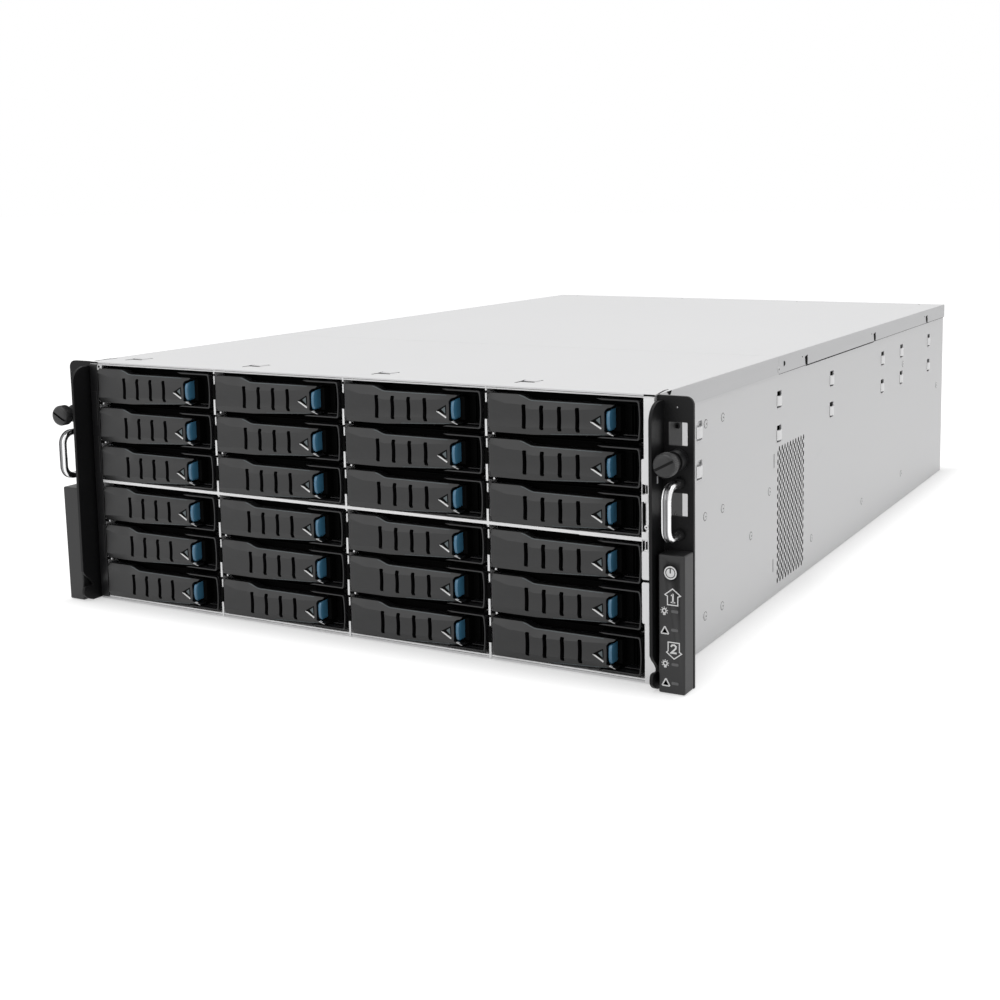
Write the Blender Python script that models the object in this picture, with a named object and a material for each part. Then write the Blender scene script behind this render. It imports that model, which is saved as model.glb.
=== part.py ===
"""Storage server chassis, four rack units high, with twenty-four drive carriers.

Lengths are metres. X runs to the right as seen from the front, Y runs to the back
and Z runs up. The origin is the middle of the chassis floor's underside.
"""

import math

import bmesh
import bpy
from mathutils import Vector

# Whole chassis
rack_width = 0.4826
ear_reach = 0.0228
body_depth = 0.715
body_height = 0.171
sheet = 0.0012
fit_gap = 0.0003
cut_overrun = 0.004

# Drive cage
column_count = 4
row_count = 6
shelf_after_row = 3
side_rail_width = 0.0061
cage_depth = 0.200
cage_sheet = 0.001
ledge_width = 0.003
ledge_thickness = 0.001
cage_back_wall = 0.0015
back_slot_share = 0.76
back_slot_height = 0.008
top_plate_overhang = 0.0085

# Base and its openings
rear_wall_recess = 0.007
vent_pitch = 0.012
vent_hole = 0.0078
vent_columns = 5
vent_field_share = 0.61
vent_cage_gap = 0.0110
vent_bottom = 0.0065
vent_row_shift_share = 0.5
bridge_width = 0.0050
bridge_height = 0.0114
bridge_rise_shares = (0.640, 0.781)
bridge_depth_shares = (0.089, 0.296, 0.469, 0.676, 0.766, 0.910)
rear_window_share = 0.206
rear_window_height = 0.020
rear_window_count = 4

# Removable cover
cover_sheet = 0.0009
cover_flange = 0.0125
cover_notch_width = 0.006
cover_notch_height = 0.0045
cover_notch_shares = (0.115, 0.482, 0.850)

# Drive carrier
tray_front_inset = 0.0018
tray_front_depth = 0.010
tray_rear_gap = 0.0023
tray_top_gap = 0.0003
rim_reach = 0.002
rim_wall = 0.0016
rim_length = 0.0275
rim_bottom = 0.0008
rim_head_gap = 0.00175
latch_width = 0.0063
latch_foot = 0.0061
latch_head = 0.0056
latch_right_inset = 0.0154
latch_reach = 0.0030

# Carrier lever
lever_reach = 0.0030
lever_thickness = 0.0080
lever_left_inset = 0.0006
lever_bottom = 0.0006
lever_head_gap = 0.00335
lever_shoulder_share = 0.266
lever_shoulder_run_share = 0.125
lever_shoulder_drop = 0.0025
lever_foot_rise = 0.0030
lever_mouth_gap = 0.0010
lever_horn_length = 0.0045
lever_barrel_overlap = 0.0015
lever_slot_width = 0.0024
lever_slot_end_gap = 0.00315
lever_slot_count = 4
lever_slot_start_share = 0.327
lever_slot_pitch_share = 0.1513
lever_barrel_steps = 6

# Rack ears
ear_sheet = 0.0020
ear_flange_back = 0.0044
ear_side_reach = 0.0340
ear_corner_radius = 0.0050
ear_corner_steps = 5
lip_step = 0.0019
lip_reach = 0.0145
lip_drop = 0.0028
lip_corner_radius = 0.0110
lip_foot_height = 0.0205
lip_foot_shares = ((1.0, 1.0), (0.95, 0.83), (0.76, 0.66), (0.46, 0.54), (0.30, 0.47),
                   (0.50, 0.44), (0.82, 0.36), (0.91, 0.22), (0.82, 0.06), (0.55, 0.0))
side_plate_bottom = 0.0060
rack_slot_width = 0.0116
rack_slot_height = 0.0136
rack_slot_inset = 0.0038
rack_slot_gap = 0.00195
rack_slot_over_handle = 0.0023
ear_hole_radius = 0.0010
ear_hole_inset = 0.0110
ear_hole_drop = 0.0067

# Handles
handle_inset = 0.0090
handle_screw_gap = 0.00365
handle_spacing = 0.0305
handle_reach = 0.0207
handle_width = 0.0058
handle_depth = 0.0045
handle_bend_radius = 0.0075
handle_bend_steps = 5
handle_section_steps = 10
ferrule_radius = 0.0033
ferrule_length = 0.0040

# Thumbscrews
screw_inset = 0.0096
screw_drop = 0.0368
screw_knob_radius = 0.0071
screw_knob_length = 0.0075
screw_neck_radius = 0.0052
screw_neck_length = 0.0060
screw_shank_radius = 0.0030
screw_shank_length = 0.0120
screw_chamfer = 0.0010
screw_slot_width = 0.0014
screw_slot_depth = 0.0012
screw_collar_radius = 0.0062
screw_collar_length = 0.0080
round_steps = 20

# Front modules and power button
module_width = 0.0156
module_head_gap = 0.0055
module_reach = 0.0135
module_bevel = 0.0010
button_radius = 0.0040
button_length = 0.0050
button_travel = 0.0015
button_proud = 0.0004
button_drop = 0.0102
button_inset = 0.0086

# Places worked out from the sizes above
front_y = -body_depth / 2
half_rack = rack_width / 2
half_body = half_rack - ear_reach
body_width = half_body + half_body
column_pitch = (body_width - side_rail_width - side_rail_width) / column_count
cage_half = half_body - sheet - fit_gap
cage_floor = sheet + fit_gap + cage_sheet
cage_top = body_height - cage_sheet
row_pitch = (cage_top - cage_floor - cage_sheet) / row_count
bay_width = column_pitch - cage_sheet
tray_width = bay_width - fit_gap - fit_gap
tray_height = row_pitch - ledge_thickness - fit_gap - tray_top_gap
tray_back = cage_depth - cage_back_wall - tray_rear_gap
top_plate_depth = cage_depth + top_plate_overhang
vent_front = cage_depth + vent_cage_gap
tray_front_width = column_pitch - tray_front_inset - tray_front_inset
rim_top = row_pitch - rim_head_gap
lever_top = row_pitch - lever_head_gap
latch_bottom = lever_bottom + latch_foot
latch_top = lever_top - latch_head
wall_top = body_height - cage_sheet - fit_gap
ear_inner = half_body + fit_gap
ear_top = body_height - fit_gap
side_plate_top = body_height - cover_flange - fit_gap
lip_inner = ear_inner + lip_step
cover_inner = half_body + fit_gap
flange_front = ear_flange_back - ear_sheet
flange_middle = ear_flange_back - ear_sheet / 2
handle_x = half_rack - handle_inset
screw_x = half_rack - screw_inset
module_front = flange_front - module_reach
collar_front = flange_front - screw_collar_length
ferrule_front = flange_front - ferrule_length
screw_rise = ear_top - screw_drop
handle_head = screw_rise - screw_collar_radius - handle_screw_gap
handle_rise = handle_head - ferrule_radius - handle_spacing / 2
module_height = handle_rise - handle_spacing / 2 - ferrule_radius - module_head_gap
button_rise = module_height - button_drop
slot_above_screw = screw_rise + screw_collar_radius + rack_slot_gap + rack_slot_height / 2
rack_slot_rises = (handle_rise + rack_slot_over_handle, slot_above_screw)


def row_floor(row):
    """Return the height on which the carrier of a row rests, counted from below."""
    shelf = cage_sheet if row >= shelf_after_row else 0
    return cage_floor + row * row_pitch + shelf


def column_centre(column):
    """Return the middle of a column, counted from the left."""
    return (column - (column_count - 1) / 2) * column_pitch


def make_material(name, colour, roughness, metallic):
    """Return a material with one Principled surface."""
    material = bpy.data.materials.new(name)
    material.use_nodes = True
    surface = material.node_tree.nodes["Principled BSDF"]
    surface.inputs["Base Color"].default_value = (*colour, 1)
    surface.inputs["Roughness"].default_value = roughness
    surface.inputs["Metallic"].default_value = metallic
    material.diffuse_color = (*colour, 1)
    return material


def add_box(shape, low, high):
    """Add a box between two opposite corners."""
    size = Vector(high) - Vector(low)
    middle = (Vector(high) + Vector(low)) / 2
    made = bmesh.ops.create_cube(shape, size=1)
    bmesh.ops.scale(shape, vec=size, verts=made["verts"])
    bmesh.ops.translate(shape, vec=middle, verts=made["verts"])


def add_prism(shape, outline, axis, start, end):
    """Add a flat outline drawn square to an axis and drawn out from start to end."""
    places = {"X": lambda a, b: (start, a, b),
              "Y": lambda a, b: (a, start, b),
              "Z": lambda a, b: (a, b, start)}[axis]
    direction = {"X": (1, 0, 0), "Y": (0, 1, 0), "Z": (0, 0, 1)}[axis]
    verts = [shape.verts.new(places(a, b)) for a, b in outline]
    face = shape.faces.new(verts)
    face.normal_update()
    run = Vector(direction) * (end - start)
    made = bmesh.ops.extrude_face_region(shape, geom=[face])
    moved = [item for item in made["geom"] if isinstance(item, bmesh.types.BMVert)]
    bmesh.ops.translate(shape, vec=run, verts=moved)


def add_turned(shape, profile, centre_x, centre_z, steps):
    """Add a round body about a line along Y from pairs of radius and depth."""
    rings = []
    for radius, depth in profile:
        ring = []
        for step in range(steps):
            angle = 2 * math.pi * step / steps
            x = centre_x + radius * math.cos(angle)
            z = centre_z + radius * math.sin(angle)
            ring.append(shape.verts.new((x, depth, z)))
        rings.append(ring)
    for near, far in zip(rings, rings[1:]):
        for step in range(steps):
            after = (step + 1) % steps
            shape.faces.new((near[step], near[after], far[after], far[step]))
    shape.faces.new(rings[0])
    shape.faces.new(rings[-1])


def add_sweep(shape, path, across, width, depth, steps):
    """Add an oval bar of a width and a depth along a path square to a direction."""
    rings = []
    for index, point in enumerate(path):
        before = path[max(index - 1, 0)]
        after = path[min(index + 1, len(path) - 1)]
        ahead = (after - before).normalized()
        side = ahead.cross(across).normalized()
        ring = []
        for step in range(steps):
            angle = 2 * math.pi * step / steps
            offset = across * (width / 2 * math.cos(angle)) + side * (depth / 2 * math.sin(angle))
            ring.append(shape.verts.new(point + offset))
        rings.append(ring)
    for near, far in zip(rings, rings[1:]):
        for step in range(steps):
            after = (step + 1) % steps
            shape.faces.new((near[step], near[after], far[after], far[step]))
    shape.faces.new(rings[0])
    shape.faces.new(rings[-1])


def mirrored(shape, turn):
    """Reflect a shape to the left side where the turn is minus one."""
    if turn < 0:
        bmesh.ops.scale(shape, vec=(-1, 1, 1), verts=shape.verts)


def make_mesh(name, shape):
    """Turn a shape into a mesh whose faces point out."""
    bmesh.ops.recalc_face_normals(shape, faces=shape.faces)
    mesh = bpy.data.meshes.new(name)
    shape.to_mesh(mesh)
    shape.free()
    return mesh


def make_object(name, mesh, material, location, parent=None):
    """Place one named piece."""
    piece = bpy.data.objects.new(name, mesh)
    bpy.context.scene.collection.objects.link(piece)
    if not mesh.materials:
        mesh.materials.append(material)
    piece.location = location
    piece.parent = parent
    return piece


def make_cutter(name, shape, location):
    """Place a guide solid that is used only for cutting or joining."""
    cutter = make_object(name, make_mesh(name, shape), guide_paint, location)
    cutter.display_type = "WIRE"
    cutter.hide_render = True
    return cutter


def combine(piece, tool, operation):
    """Cut, join or keep the overlap of a piece and a guide solid."""
    step = piece.modifiers.new(tool.name, "BOOLEAN")
    step.operation = operation
    step.solver = "EXACT"
    step.object = tool


def finished_mesh(piece, name):
    """Return the mesh of a piece with all its modifiers applied."""
    view = bpy.context.evaluated_depsgraph_get()
    mesh = bpy.data.meshes.new_from_object(piece.evaluated_get(view))
    mesh.name = name
    return mesh


def shade_round(piece):
    """Shade a round piece smooth and keep its true edges sharp."""
    piece.data.shade_smooth()
    piece.data.set_sharp_from_angle(angle=math.radians(40))


def build_base():
    """Build the floor, both side walls and the rear wall of the chassis."""
    shape = bmesh.new()
    add_box(shape, (-half_body, 0, 0), (half_body, body_depth, wall_top))
    base = make_object("chassis_base", make_mesh("chassis_base", shape), steel_paint, (0, front_y, 0))

    inside = bmesh.new()
    inner = half_body - sheet
    rear_face = body_depth - rear_wall_recess
    add_box(inside, (-inner, -cut_overrun, sheet),
            (inner, rear_face - sheet, body_height + cut_overrun))
    add_box(inside, (-inner, rear_face, sheet),
            (inner, body_depth + cut_overrun, body_height + cut_overrun))
    combine(base, make_cutter("base_inside", inside, (0, front_y, 0)), "DIFFERENCE")

    holes = bmesh.new()
    vent_rows = int((vent_field_share * body_height - vent_bottom) / vent_pitch)
    for turn in (-1, 1):
        outer = turn * (half_body + cut_overrun)
        inner_edge = turn * (half_body - sheet - cut_overrun)
        low_x, high_x = min(outer, inner_edge), max(outer, inner_edge)
        for column in range(vent_columns):
            shift = vent_row_shift_share * vent_pitch * (column % 2)
            near = vent_front + column * vent_pitch
            for row in range(vent_rows):
                low = vent_bottom + shift + row * vent_pitch
                add_box(holes, (low_x, near, low), (high_x, near + vent_hole, low + vent_hole))
        for depth_share in bridge_depth_shares:
            near = depth_share * body_depth
            for rise_share in bridge_rise_shares:
                low = rise_share * body_height
                add_box(holes, (low_x, near, low), (high_x, near + bridge_width, low + bridge_height))
    window = rear_window_share * body_width
    spacing = body_width / rear_window_count
    for index in range(rear_window_count):
        middle = (index - (rear_window_count - 1) / 2) * spacing
        low_z = body_height - cage_sheet - rear_window_height - rear_window_height
        add_box(holes, (middle - window / 2, rear_face - sheet - cut_overrun, low_z),
                (middle + window / 2, rear_face + cut_overrun, low_z + rear_window_height))
    combine(base, make_cutter("base_holes", holes, (0, front_y, 0)), "DIFFERENCE")
    return base


def channel_outline(under):
    """Return a flat channel that laps over both side walls, as width and height."""
    outer = cover_inner + cover_sheet
    low = body_height - cover_flange
    return [(-outer, low), (-cover_inner, low), (-cover_inner, under), (cover_inner, under),
            (cover_inner, low), (outer, low), (outer, body_height), (-outer, body_height)]


def build_cover():
    """Build the removable rear cover."""
    low = body_height - cover_flange
    start = top_plate_depth + fit_gap
    length = body_depth - start
    shape = bmesh.new()
    add_prism(shape, channel_outline(body_height - cover_sheet), "Y", start, body_depth)
    cover = make_object("top_cover", make_mesh("top_cover", shape), steel_paint, (0, front_y, 0))

    notches = bmesh.new()
    for share in cover_notch_shares:
        near = start + share * length
        for turn in (-1, 1):
            side = turn * (cover_inner + cover_sheet / 2)
            add_box(notches, (side - cut_overrun, near, low - cut_overrun),
                    (side + cut_overrun, near + cover_notch_width, low + cover_notch_height))
    combine(cover, make_cutter("cover_notches", notches, (0, front_y, 0)), "DIFFERENCE")
    return cover


def bay_outline(low, high, rows):
    """Return one column's hollow, with a ledge on both sides under each higher row."""
    half = bay_width / 2
    inside = half - ledge_width
    right = [(half, low)]
    for row in range(1, rows):
        top = low + row * row_pitch
        under = top - ledge_thickness
        right += [(half, under), (inside, under), (inside, top), (half, top)]
    right.append((half, high))
    left = [(-x, z) for x, z in reversed(right)]
    return right + left


def build_cage():
    """Build the drive cage: dividers, middle shelf, back wall and front top plate."""
    outline = [(-cage_half, cage_floor - cage_sheet), (cage_half, cage_floor - cage_sheet),
               (cage_half, cage_top), (half_body, cage_top), (half_body, body_height),
               (-half_body, body_height), (-half_body, cage_top), (-cage_half, cage_top)]
    shape = bmesh.new()
    add_prism(shape, outline, "Y", 0, cage_depth)
    cage = make_object("drive_cage", make_mesh("drive_cage", shape), cage_paint, (0, front_y, 0))

    plate = bmesh.new()
    add_prism(plate, channel_outline(cage_top), "Y", ear_flange_back + fit_gap, top_plate_depth)
    combine(cage, make_cutter("cage_plate", plate, (0, front_y, 0)), "UNION")

    bays = bmesh.new()
    slots = bmesh.new()
    wall_front = cage_depth - cage_back_wall
    groups = ((0, shelf_after_row), (shelf_after_row, row_count))
    for column in range(column_count):
        centre = column_centre(column)
        half_slot = back_slot_share * bay_width / 2
        for first, last in groups:
            low = row_floor(first)
            high = low + (last - first) * row_pitch
            points = [(centre + x, z) for x, z in bay_outline(low, high, last - first)]
            add_prism(bays, points, "Y", -cut_overrun, wall_front)
        for row in range(row_count):
            middle = row_floor(row) + row_pitch / 2
            add_box(slots, (centre - half_slot, wall_front - cut_overrun, middle - back_slot_height / 2),
                    (centre + half_slot, cage_depth + cut_overrun, middle + back_slot_height / 2))
    combine(cage, make_cutter("cage_bays", bays, (0, front_y, 0)), "DIFFERENCE")
    combine(cage, make_cutter("cage_slots", slots, (0, front_y, 0)), "DIFFERENCE")
    return cage


def tray_template():
    """Return the mesh of a carrier: its long body, finger pocket rim and latch."""
    half = tray_width / 2
    shape = bmesh.new()
    add_box(shape, (-half, tray_front_depth, fit_gap), (half, tray_back, fit_gap + tray_height))
    body = make_object("tray_template", make_mesh("tray_body", shape), tray_paint, (0, 0, 0))

    right = tray_front_width / 2
    left = right - rim_length
    inner = right - rim_wall
    rim = bmesh.new()
    outline = [(left, rim_bottom), (right, rim_bottom), (right, rim_top), (left, rim_top),
               (left, rim_top - rim_wall), (inner, rim_top - rim_wall),
               (inner, rim_bottom + rim_wall), (left, rim_bottom + rim_wall)]
    add_prism(rim, outline, "Y", -rim_reach, tray_front_depth + cut_overrun)
    rim_tool = make_cutter("tray_rim", rim, (0, 0, 0))
    combine(body, rim_tool, "UNION")

    latch = bmesh.new()
    latch_right = right - latch_right_inset
    add_box(latch, (latch_right - latch_width, -latch_reach, latch_bottom),
            (latch_right, tray_front_depth + cut_overrun, latch_top))
    latch_tool = make_cutter("tray_latch", latch, (0, 0, 0))
    combine(body, latch_tool, "UNION")

    mesh = finished_mesh(body, "drive_tray")
    for used in (body, rim_tool, latch_tool):
        bpy.data.objects.remove(used)
    return mesh


def lever_hinge():
    """Return the hinge line of a lever, measured from its carrier."""
    barrel = (tray_front_depth - fit_gap + lever_reach) / 2
    x = -tray_front_width / 2 + lever_left_inset + barrel
    return x, barrel - lever_reach, barrel


def lever_template():
    """Return the mesh of a carrier lever, measured from its own hinge line."""
    hinge_x, hinge_y, barrel = lever_hinge()
    left = -barrel
    latch_left = tray_front_width / 2 - latch_right_inset - latch_width - hinge_x
    horn = latch_left + lever_horn_length
    mouth = latch_left - lever_mouth_gap
    length = mouth - left
    bend = left + lever_shoulder_share * length
    bend_end = bend + lever_shoulder_run_share * length
    shoulder = lever_top - lever_shoulder_drop
    outline = [(left, lever_bottom), (bend_end, lever_bottom), (horn, lever_bottom + lever_foot_rise),
               (mouth, latch_bottom - lever_mouth_gap),
               (mouth, latch_top + lever_mouth_gap),
               (horn, shoulder), (bend_end, shoulder), (bend, lever_top), (left, lever_top)]
    shape = bmesh.new()
    add_prism(shape, outline, "Y", -barrel, barrel)
    lever = make_object("lever_template", make_mesh("lever_body", shape), tray_paint, (0, 0, 0))

    front = -barrel
    back = front + lever_thickness
    plan = [(horn + cut_overrun, front), (horn + cut_overrun, back),
            (barrel + lever_barrel_overlap, back), (barrel, barrel)]
    for step in range(lever_barrel_steps + 1):
        angle = math.pi / 2 + math.pi * step / lever_barrel_steps
        plan.append((barrel * math.cos(angle), barrel * math.sin(angle)))
    keep = bmesh.new()
    add_prism(keep, plan, "Z", lever_bottom - cut_overrun, lever_top + cut_overrun)
    keep_tool = make_cutter("lever_plan", keep, (0, 0, 0))
    combine(lever, keep_tool, "INTERSECT")

    slots = bmesh.new()
    low = lever_bottom + lever_slot_end_gap
    high = shoulder - lever_slot_end_gap
    for index in range(lever_slot_count):
        centre = left + (lever_slot_start_share + index * lever_slot_pitch_share) * length
        add_box(slots, (centre - lever_slot_width / 2, front - cut_overrun, low),
                (centre + lever_slot_width / 2, back + cut_overrun, high))
    slot_tool = make_cutter("lever_slots", slots, (0, 0, 0))
    combine(lever, slot_tool, "DIFFERENCE")

    mesh = finished_mesh(lever, "drive_lever")
    for used in (lever, keep_tool, slot_tool):
        bpy.data.objects.remove(used)
    return mesh


def build_carriers():
    """Place every carrier in its bay and every lever on its carrier."""
    tray_mesh = tray_template()
    lever_mesh = lever_template()
    hinge_x, hinge_y, barrel = lever_hinge()
    for column in range(column_count):
        for row in range(row_count):
            place = f"c{column + 1}r{row_count - row}"
            tray = make_object(f"tray_{place}", tray_mesh, tray_paint,
                               (column_centre(column), front_y, row_floor(row)))
            make_object(f"lever_{place}", lever_mesh, tray_paint, (hinge_x, hinge_y, 0), tray)


def lip_outline():
    """Return the outline of an ear's front lip, as depth and height."""
    points = [(share_y * -lip_reach, share_z * lip_foot_height) for share_y, share_z in lip_foot_shares]
    points.reverse()
    centre_y = -lip_reach + lip_corner_radius
    lip_top = ear_top - lip_drop
    centre_z = lip_top - lip_corner_radius
    for step in range(ear_corner_steps + 1):
        angle = math.pi - math.pi / 2 * step / ear_corner_steps
        points.append((centre_y + lip_corner_radius * math.cos(angle),
                       centre_z + lip_corner_radius * math.sin(angle)))
    return points + [(flange_middle, lip_top), (flange_middle, 0)]


def build_ear(name, turn):
    """Build one rack ear: flange, lip, side plate, collar and handle ferrules."""
    plate = bmesh.new()
    add_box(plate, (ear_inner, flange_middle, side_plate_bottom),
            (ear_inner + ear_sheet, ear_side_reach, side_plate_top))
    mirrored(plate, turn)
    ear = make_object(name, make_mesh(name, plate), ear_paint, (0, front_y, 0))

    lip = bmesh.new()
    add_prism(lip, lip_outline(), "X", lip_inner, lip_inner + ear_sheet)
    mirrored(lip, turn)

    flange = bmesh.new()
    corner_x = half_rack - ear_corner_radius
    corner_z = ear_top - ear_corner_radius
    outline = [(ear_inner, 0), (half_rack, 0)]
    for step in range(ear_corner_steps + 1):
        angle = math.pi / 2 * step / ear_corner_steps
        outline.append((corner_x + ear_corner_radius * math.cos(angle),
                        corner_z + ear_corner_radius * math.sin(angle)))
    outline.append((ear_inner, ear_top))
    add_prism(flange, outline, "Y", flange_front, ear_flange_back)
    mirrored(flange, turn)
    combine(ear, make_cutter(name + "_flange", flange, (0, front_y, 0)), "UNION")
    combine(ear, make_cutter(name + "_lip", lip, (0, front_y, 0)), "UNION")

    bosses = bmesh.new()
    add_turned(bosses, [(screw_collar_radius, collar_front), (screw_collar_radius, flange_middle)],
               screw_x, screw_rise, round_steps)
    for side in (-1, 1):
        height = handle_rise + side * handle_spacing / 2
        add_turned(bosses, [(ferrule_radius, ferrule_front), (ferrule_radius, flange_middle)],
                   handle_x, height, round_steps)
    mirrored(bosses, turn)
    combine(ear, make_cutter(name + "_bosses", bosses, (0, front_y, 0)), "UNION")

    holes = bmesh.new()
    front = collar_front - cut_overrun
    back = ear_flange_back + cut_overrun
    bore = screw_shank_radius + fit_gap
    add_turned(holes, [(bore, front), (bore, back)], screw_x, screw_rise, round_steps)
    add_turned(holes, [(ear_hole_radius, front), (ear_hole_radius, back)],
               half_rack - ear_hole_inset, ear_top - ear_hole_drop, round_steps)
    slot_right = half_rack - rack_slot_inset
    slot_front = flange_front - cut_overrun
    for rise in rack_slot_rises:
        add_box(holes, (slot_right - rack_slot_width, slot_front, rise - rack_slot_height / 2),
                (slot_right, back, rise + rack_slot_height / 2))
    mirrored(holes, turn)
    combine(ear, make_cutter(name + "_holes", holes, (0, front_y, 0)), "DIFFERENCE")
    return ear


def build_handle(name, turn):
    """Build one bow handle that stands on the two ferrules of its ear."""
    foot_y = ferrule_front - fit_gap
    grip_y = flange_front - handle_reach + handle_depth / 2
    half = handle_spacing / 2
    path = []
    for side in (1, -1):
        bend = []
        centre_y = grip_y + handle_bend_radius
        centre_z = handle_rise + side * (half - handle_bend_radius)
        for step in range(handle_bend_steps + 1):
            angle = math.pi / 2 * step / handle_bend_steps
            bend.append(Vector((handle_x, centre_y - handle_bend_radius * math.sin(angle),
                                centre_z + side * handle_bend_radius * math.cos(angle))))
        foot = Vector((handle_x, foot_y, handle_rise + side * half))
        run = [foot] + bend
        path += run if side > 0 else run[::-1]
    shape = bmesh.new()
    add_sweep(shape, path, Vector((1, 0, 0)), handle_width, handle_depth, handle_section_steps)
    mirrored(shape, turn)
    handle = make_object(name, make_mesh(name, shape), bright_metal, (0, front_y, 0))
    shade_round(handle)
    return handle


def build_thumbscrew(name, turn):
    """Build one captive thumbscrew that turns in the collar of its ear."""
    neck_back = -fit_gap
    knob_back = neck_back - screw_neck_length
    knob_front = knob_back - screw_knob_length
    shank_end = ear_flange_back - collar_front + screw_shank_length
    chamfered = screw_knob_radius - screw_chamfer
    profile = [(chamfered, knob_front), (screw_knob_radius, knob_front + screw_chamfer),
               (screw_knob_radius, knob_back), (screw_neck_radius, knob_back),
               (screw_neck_radius, neck_back), (screw_shank_radius, neck_back),
               (screw_shank_radius, shank_end)]
    shape = bmesh.new()
    add_turned(shape, profile, 0, 0, round_steps)
    place = (turn * screw_x, front_y + collar_front, screw_rise)
    screw = make_object(name, make_mesh(name, shape), screw_black, place)
    slot = bmesh.new()
    reach = screw_knob_radius + cut_overrun
    add_box(slot, (-reach, knob_front - cut_overrun, -screw_slot_width / 2),
            (reach, knob_front + screw_slot_depth, screw_slot_width / 2))
    combine(screw, make_cutter(name + "_slot", slot, place), "DIFFERENCE")
    shade_round(screw)
    return screw


def build_module(name, turn, has_button):
    """Build one box on the lower front of an ear, with a seat for the power button."""
    back = flange_front - fit_gap
    shape = bmesh.new()
    add_box(shape, (half_rack - module_width, module_front, 0), (half_rack, back, module_height))
    mirrored(shape, turn)
    module = make_object(name, make_mesh(name, shape), module_plastic, (0, front_y, 0))
    edge = module.modifiers.new("edges", "BEVEL")
    edge.width = module_bevel
    edge.segments = 1
    edge.limit_method = "ANGLE"
    if has_button:
        seat = bmesh.new()
        radius = button_radius + fit_gap
        depth = module_front - button_proud + button_length + button_travel + fit_gap
        add_turned(seat, [(radius, module_front - cut_overrun), (radius, depth)],
                   half_rack - button_inset, button_rise, round_steps)
        combine(module, make_cutter(name + "_seat", seat, (0, front_y, 0)), "DIFFERENCE")
    return module


def build_button():
    """Build the round power button of the right module."""
    front = module_front - button_proud
    shape = bmesh.new()
    add_turned(shape, [(button_radius, 0), (button_radius, button_length)], 0, 0, round_steps)
    button = make_object("power_button", make_mesh("power_button", shape), button_white,
                         (half_rack - button_inset, front_y + front, button_rise))
    shade_round(button)
    return button


for old in list(bpy.data.objects):
    bpy.data.objects.remove(old)

guide_paint = make_material("guide", (0.5, 0.5, 0.5), 0.5, 0)
steel_paint = make_material("galvanised_steel", (0.62, 0.62, 0.62), 0.42, 0.6)
cage_paint = make_material("bright_zinc_steel", (0.78, 0.78, 0.78), 0.38, 0.6)
tray_paint = make_material("black_gloss_plastic", (0.035, 0.035, 0.037), 0.34, 0)
ear_paint = make_material("black_powder_coat", (0.012, 0.012, 0.013), 0.5, 0)
bright_metal = make_material("polished_metal", (0.82, 0.82, 0.82), 0.16, 1)
screw_black = make_material("blackened_steel", (0.02, 0.02, 0.02), 0.42, 0.2)
module_plastic = make_material("dark_grey_plastic", (0.045, 0.045, 0.045), 0.45, 0)
button_white = make_material("white_button", (0.75, 0.75, 0.75), 0.4, 0)

build_base()
build_cover()
build_cage()
build_carriers()
build_ear("right_ear", 1)
build_ear("left_ear", -1)
build_handle("right_handle", 1)
build_handle("left_handle", -1)
build_thumbscrew("right_thumbscrew", 1)
build_thumbscrew("left_thumbscrew", -1)
build_module("control_module", 1, True)
build_module("left_module", -1, False)
build_button()
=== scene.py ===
import math

import bmesh
import bpy
from mathutils import Matrix, Vector
from mathutils.geometry import tessellate_polygon


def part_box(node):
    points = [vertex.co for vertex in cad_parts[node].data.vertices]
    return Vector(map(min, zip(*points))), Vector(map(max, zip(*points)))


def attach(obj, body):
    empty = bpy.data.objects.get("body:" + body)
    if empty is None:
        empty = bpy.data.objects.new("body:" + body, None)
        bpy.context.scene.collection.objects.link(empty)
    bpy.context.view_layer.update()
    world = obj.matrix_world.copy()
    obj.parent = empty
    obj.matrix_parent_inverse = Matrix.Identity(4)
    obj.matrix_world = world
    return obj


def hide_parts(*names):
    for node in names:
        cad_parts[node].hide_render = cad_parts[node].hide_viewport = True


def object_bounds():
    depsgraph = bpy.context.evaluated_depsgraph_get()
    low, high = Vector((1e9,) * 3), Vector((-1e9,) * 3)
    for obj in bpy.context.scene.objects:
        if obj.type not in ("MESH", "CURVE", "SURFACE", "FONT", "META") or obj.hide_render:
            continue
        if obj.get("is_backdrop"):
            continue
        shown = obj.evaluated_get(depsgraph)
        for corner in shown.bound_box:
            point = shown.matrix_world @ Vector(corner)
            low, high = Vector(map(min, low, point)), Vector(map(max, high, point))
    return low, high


# Shapes are drawn in millimetres: x to the right, y back from the front plane, z up from the underside.
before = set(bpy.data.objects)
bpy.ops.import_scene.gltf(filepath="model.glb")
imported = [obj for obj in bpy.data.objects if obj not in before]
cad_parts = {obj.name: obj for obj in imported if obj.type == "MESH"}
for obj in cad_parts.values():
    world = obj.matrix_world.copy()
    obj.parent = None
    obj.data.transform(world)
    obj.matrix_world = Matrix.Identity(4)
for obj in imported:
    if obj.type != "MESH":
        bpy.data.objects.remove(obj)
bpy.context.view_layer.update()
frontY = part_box("drive_cage")[0].y
mm = 0.001

body = {
    "halfWidth": 218.5, "depth": 715.0, "height": 171.0, "sheet": 1.2,
    "columns": 4, "rows": 6, "columnPitch": 106.2, "rowPitch": 27.75,
    "floor": 2.5, "shelf": 1.0, "shelfAfter": 3,
}


def rowFloor(row):  # rows counted from below
    return body["floor"] + row * body["rowPitch"] + (body["shelf"] if row >= body["shelfAfter"] else 0)


def columnCentre(column):
    return (column - (body["columns"] - 1) / 2) * body["columnPitch"]


# nodes as maths

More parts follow.
